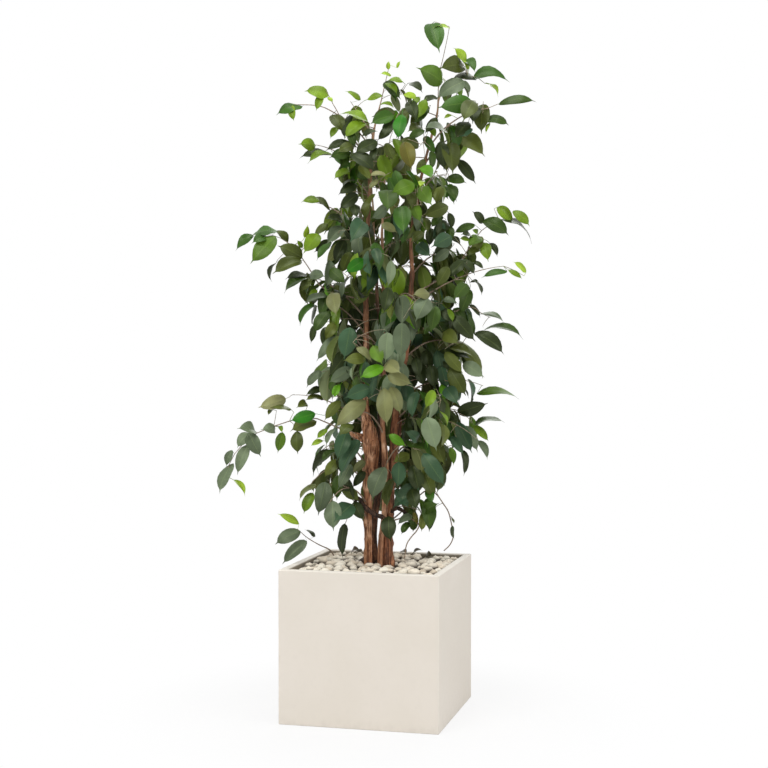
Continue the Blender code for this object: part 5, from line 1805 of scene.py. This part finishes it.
def collar_piece(material):
    """The low heap of soil round the stems' feet: ellipses that shrink as they rise, pressed in and out by
    sines of the angle and the height. It starts with a small ellipse under the heap, which closes it."""
    turn = np.array([0.0, 0.0, 0.18, 0.36, 0.52, 0.68, 0.82, 0.94, 1.0])[:, None] * math.pi / 2
    share = np.cos(turn) ** 0.8
    share[0] = 0.05
    height = COLLAR_FOOT + (COLLAR_TOP - COLLAR_FOOT) * np.sin(turn)
    angle = all_round(COLLAR_SIDES)
    lumps = 1 + 0.06 * np.sin(5 * angle + 9 * turn) + 0.05 * np.sin(11 * angle - 14 * turn)
    reach = (share + 0.03) * lumps
    x = COLLAR_RADII[0] * reach * np.cos(angle) + COLLAR_CENTRE[0]
    y = COLLAR_RADII[1] * reach * np.sin(angle) + COLLAR_CENTRE[1]
    crumbs = 0.0014 * np.sin(7 * angle + 11 * turn) * np.sin(turn)
    points = np.stack([x, y, height + crumbs], axis=-1)
    return piece_from("soil_collar", points, ring_quads(len(turn), COLLAR_SIDES), material)


# --- pebbles ---


def pebble_places(chance):
    """The places and radii of the pebbles: two layers, each on a jittered grid that is a little higher in the
    middle, kept off the walls, the stems and the heap of soil."""
    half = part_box("planter")[1][0] - PLANTER_WALL
    spots = []
    for count, rise, tossed in PEBBLE_LAYERS:
        spacing = 2 * half / count
        grid = (np.arange(count) + 0.5) * spacing - half
        x, y = np.meshgrid(grid, grid)
        flat = np.stack([x.ravel(), y.ravel()], axis=-1)
        flat = flat + chance.uniform(-PEBBLE_JITTER, PEBBLE_JITTER, flat.shape) * spacing
        radius = PEBBLE_RADIUS * chance.uniform(*PEBBLE_SIZES, len(flat))
        limit = half - radius[:, None] * 1.12 - PEBBLE_CLEARANCE
        flat = np.clip(flat, -limit, limit)
        mound = PEBBLE_MOUND * (1 - (np.linalg.norm(flat, axis=1) / half) ** 2)
        z = PEBBLE_BED + rise + mound + chance.uniform(-tossed, tossed, len(flat))
        spots.append((np.column_stack([flat, z]), radius))
    places = np.concatenate([spot for spot, _ in spots])
    radii = np.concatenate([radius for _, radius in spots])
    from_collar = (places[:, :2] - np.array(COLLAR_CENTRE)) / np.array(COLLAR_RADII)
    keep = np.hypot(from_collar[:, 0], from_collar[:, 1]) >= COLLAR_BARE
    for name in STEM_POINTS:
        centre, stem_radius = stem_at(name, STEM_FOOT)
        gap = np.linalg.norm(places[:, :2] - centre[:2], axis=1)
        keep &= gap > stem_radius * 1.15 + radii * 0.72
    return places[keep], radii[keep]


def pebbles_piece(material, chance):
    """Loose pebbles: each a ball on a grid of two angles, flattened, stretched, turned and slightly dented.

    The dents are sines of the two angles with phases of the pebble's own.
    """
    places, radii = pebble_places(chance)
    count = len(places)
    polar = np.linspace(0.0, math.pi, PEBBLE_ROWS + 2)[1:-1]
    polar = np.concatenate([[0.12], polar, [math.pi - 0.12]])[:, None]
    around = all_round(PEBBLE_SIDES)
    level = np.sin(polar)
    ball = np.stack([level * np.cos(around), level * np.sin(around), np.cos(polar) + 0 * around], axis=-1)
    phase = chance.uniform(0, ANY_PHASE, (count, 4, 1, 1))
    dents = 0.085 * np.sin(2 * around + 2.1 * polar + phase[:, 0])
    dents = dents + 0.06 * np.sin(3 * around - 1.7 * polar + phase[:, 1])
    dents = dents + 0.05 * np.sin(4 * polar + phase[:, 2]) * np.sin(around + phase[:, 3])
    shape = ball[None] * (1 + dents)[..., None]
    # Long, wide and high, each as a share of the pebble's radius
    stretch = np.stack([
        chance.uniform(0.98, 1.22, count),
        chance.uniform(0.80, 1.0, count),
        chance.uniform(0.72, 0.98, count),
    ], axis=-1)
    shape = shape * (stretch * radii[:, None])[:, None, None]
    lean = chance.normal(0.0, 0.28, count)[:, None, None]
    x, y, z = shape[..., 0], shape[..., 1], shape[..., 2]
    x, z = x * np.cos(lean) - z * np.sin(lean), x * np.sin(lean) + z * np.cos(lean)
    turn = chance.uniform(0, 2 * math.pi, count)[:, None, None]
    x, y = x * np.cos(turn) - y * np.sin(turn), x * np.sin(turn) + y * np.cos(turn)
    points = np.stack([x, y, z], axis=-1) + places[:, None, None]
    points_each = len(polar) * PEBBLE_SIDES
    quads = many(ring_quads(len(polar), PEBBLE_SIDES)[:, ::-1], count, points_each)
    obj = piece_from("loose_pebbles", points, quads, material, ("pebble_mulch",))
    rise = (points[..., 2] - places[:, None, None, 2]) / radii[:, None, None]
    add_attribute(obj, "rise", rise.reshape(-1))
    look = chance.random((count, 1, 3))
    add_attribute(obj, "look", np.broadcast_to(look, (count, points_each, 3)).reshape(-1, 3))
    return obj


# --- the scene ---


def dress_plant(chance):
    """Every leaf, twig and stem. A leaf set one by one takes the place of grown ones that would hide it."""
    leaf = leaf_finish("fig_leaf")
    twig = twig_finish()
    grown = {branch.name: grow_branch(branch, chance) for branch in BRANCHES}
    twigs = [path for branch_twigs, _ in grown.values() for path in branch_twigs]
    inner_twigs, inner_leaves = grow_inner_shoots(chance)
    twig_points = np.concatenate([path for path, _, _ in twigs + inner_twigs])
    placed = {name: set_leaves(rows, twig_points, chance) for name, rows in SET_LEAVES.items()}
    all_placed = joined([leaves for _, leaves in placed.values()])
    kept_inner = thinned(inner_leaves, all_placed)
    roots = [kept_inner.root, all_placed.root]
    for name, (_, leaves) in grown.items():
        groups = [thinned(leaves, all_placed)]
        roots.append(groups[0].root)
        if name in placed:
            groups.append(placed[name][1])
        leaves_piece(name + "_leaves", joined(groups), leaf, (name,))
    sprigs = [sprig for group, _ in placed.values() for sprig in group]
    holders = np.concatenate(roots + [np.array([path[0] for path, _, _ in sprigs])])
    shoots = trimmed([shoot for group, _ in grown.values() for shoot in group[1:]], holders)
    starts = np.array([path[0] for path, _, _ in shoots])
    mains = trimmed([group[0] for group, _ in grown.values()], np.concatenate([holders, starts]))
    twigs_piece("twigs", mains + shoots + sprigs, twig)
    twigs_piece("inner_twigs", trimmed(inner_twigs, holders), twig)
    leaves_piece("inner_leaves", kept_inner, leaf, ())
    shares = np.linspace(0.0, 1.0, AERIAL_POINTS)
    aerial = [(smooth_through(in_plant(points), shares), *AERIAL_RADII) for points in AERIAL_TWIGS]
    twigs_piece("aerial_twigs", aerial, twig, ("aerial_twig",))
    _, hanging = set_leaves(AERIAL_LEAVES, np.concatenate([path for path, _, _ in aerial]), chance)
    leaves_piece("aerial_leaves", hanging, leaf, ())
    barks = {name: bark_finish(name) for name in BARKS}
    for name, (bark, slot) in STEM_BARKS.items():
        stem_piece(name, barks[bark], chance)
    stub_piece(barks["pale_bark"])
    roots_piece(barks["dark_bark"])


def dress_planter(chance):
    """The pebbles, the heap of soil, the fallen leaves, and the looks of the planter and its soil."""
    soil = soil_finish()
    pebbles_piece(pebble_finish(), chance)
    collar_piece(soil)
    _, fallen = set_leaves(FALLEN_LEAVES, np.zeros((1, 3)), chance)
    leaves_piece("fallen_leaves", fallen, leaf_finish("dry_leaf"), ())
    for node, material in (("planter", planter_finish()), ("potting_soil", soil)):
        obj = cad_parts[node]
        obj.data.materials.clear()
        obj.data.materials.append(material)


def area_light(name, place, target, size, power):
    """A square lamp that points at its target."""
    data = bpy.data.lights.new(name, "AREA")
    data.shape = "SQUARE"
    data.size = size
    data.energy = power
    lamp = add_object(name, data)
    lamp.location = place
    lamp.rotation_euler = (Vector(target) - Vector(place)).to_track_quat("-Z", "Y").to_euler()


def light_scene():
    """A soft studio: a large lamp at the front left, weaker ones at the right, behind and above, and a world
    that is plain white to the viewed rays."""
    world = bpy.data.worlds.new("studio")
    world.use_nodes = True
    bpy.context.scene.world = world
    tree = world.node_tree
    soft = tree.nodes["Background"]
    soft.inputs["Color"].default_value = (*WHITE, 1.0)
    soft.inputs["Strength"].default_value = WORLD_LIGHT
    white = tree.nodes.new("ShaderNodeBackground")
    white.inputs["Color"].default_value = (*WHITE, 1.0)
    rays = tree.nodes.new("ShaderNodeLightPath")
    seen = rays.outputs[VIEWED_RAYS[0]]
    for name in VIEWED_RAYS[1:]:
        either = tree.nodes.new("ShaderNodeMath")
        either.operation = "MAXIMUM"
        tree.links.new(seen, either.inputs[0])
        tree.links.new(rays.outputs[name], either.inputs[1])
        seen = either.outputs[0]
    mixed = tree.nodes.new("ShaderNodeMixShader")
    tree.links.new(seen, mixed.inputs[0])
    tree.links.new(soft.outputs[0], mixed.inputs[1])
    tree.links.new(white.outputs[0], mixed.inputs[2])
    tree.links.new(mixed.outputs[0], tree.nodes["World Output"].inputs["Surface"])
    for name, place, target, size, power in LAMPS:
        area_light(name, in_plant(place), target, size, power)


def lay_floor():
    """A wide white floor. To the camera it fades to plain white away from the planter, past its shadow."""
    points = np.array([[-1.0, -1.0, 0.0], [1.0, -1.0, 0.0], [1.0, 1.0, 0.0], [-1.0, 1.0, 0.0]]) * FLOOR_HALF
    mesh = bpy.data.meshes.new("floor")
    mesh.from_pydata(points, [], np.array([[0, 1, 2, 3]]))
    obj = add_object("floor", mesh)
    made = Finish("studio_floor")
    rays = [made.node("ShaderNodeLightPath", {}, {}, name) for name in VIEWED_RAYS]
    seen = (rays[0] + rays[1] + rays[2]).limited()
    far = made.node("ShaderNodeVectorMath", {"operation": "LENGTH"}, {0: made.place()}, "Value")
    made.finish(Base_Color=(FLOOR_GREY, FLOOR_GREY, FLOOR_GREY), Roughness=0.9)
    grey = Signal(made, made.shader.outputs[0])
    white = made.node("ShaderNodeEmission", {}, {"Color": WHITE})
    amount = seen * (FLOOR_WHITE + far.between(*FLOOR_FADE) * (1 - FLOOR_WHITE))
    faded = made.node("ShaderNodeMixShader", {}, {0: amount, 1: grey, 2: white})
    made.feed(made.tree.nodes["Material Output"].inputs["Surface"], faded)
    mesh.materials.append(made.material)


def set_camera():
    """The camera in front of the plant, tilted a little down."""
    data = bpy.data.cameras.new("camera")
    data.lens = CAMERA_LENS
    data.sensor_width = SENSOR_WIDTH
    camera = add_object("camera", data)
    camera.location = in_plant((CAMERA_ACROSS, -CAMERA_BACK, CAMERA_HEIGHT))
    camera.rotation_euler = (math.pi / 2 - CAMERA_DOWN, 0.0, PLANT_TURN)
    bpy.context.scene.camera = camera


dress_plant(np.random.default_rng(PLANT_SEED))
dress_planter(np.random.default_rng(PLANTER_SEED))
light_scene()
lay_floor()
set_camera()
bpy.context.scene.view_settings.view_transform = "Standard"
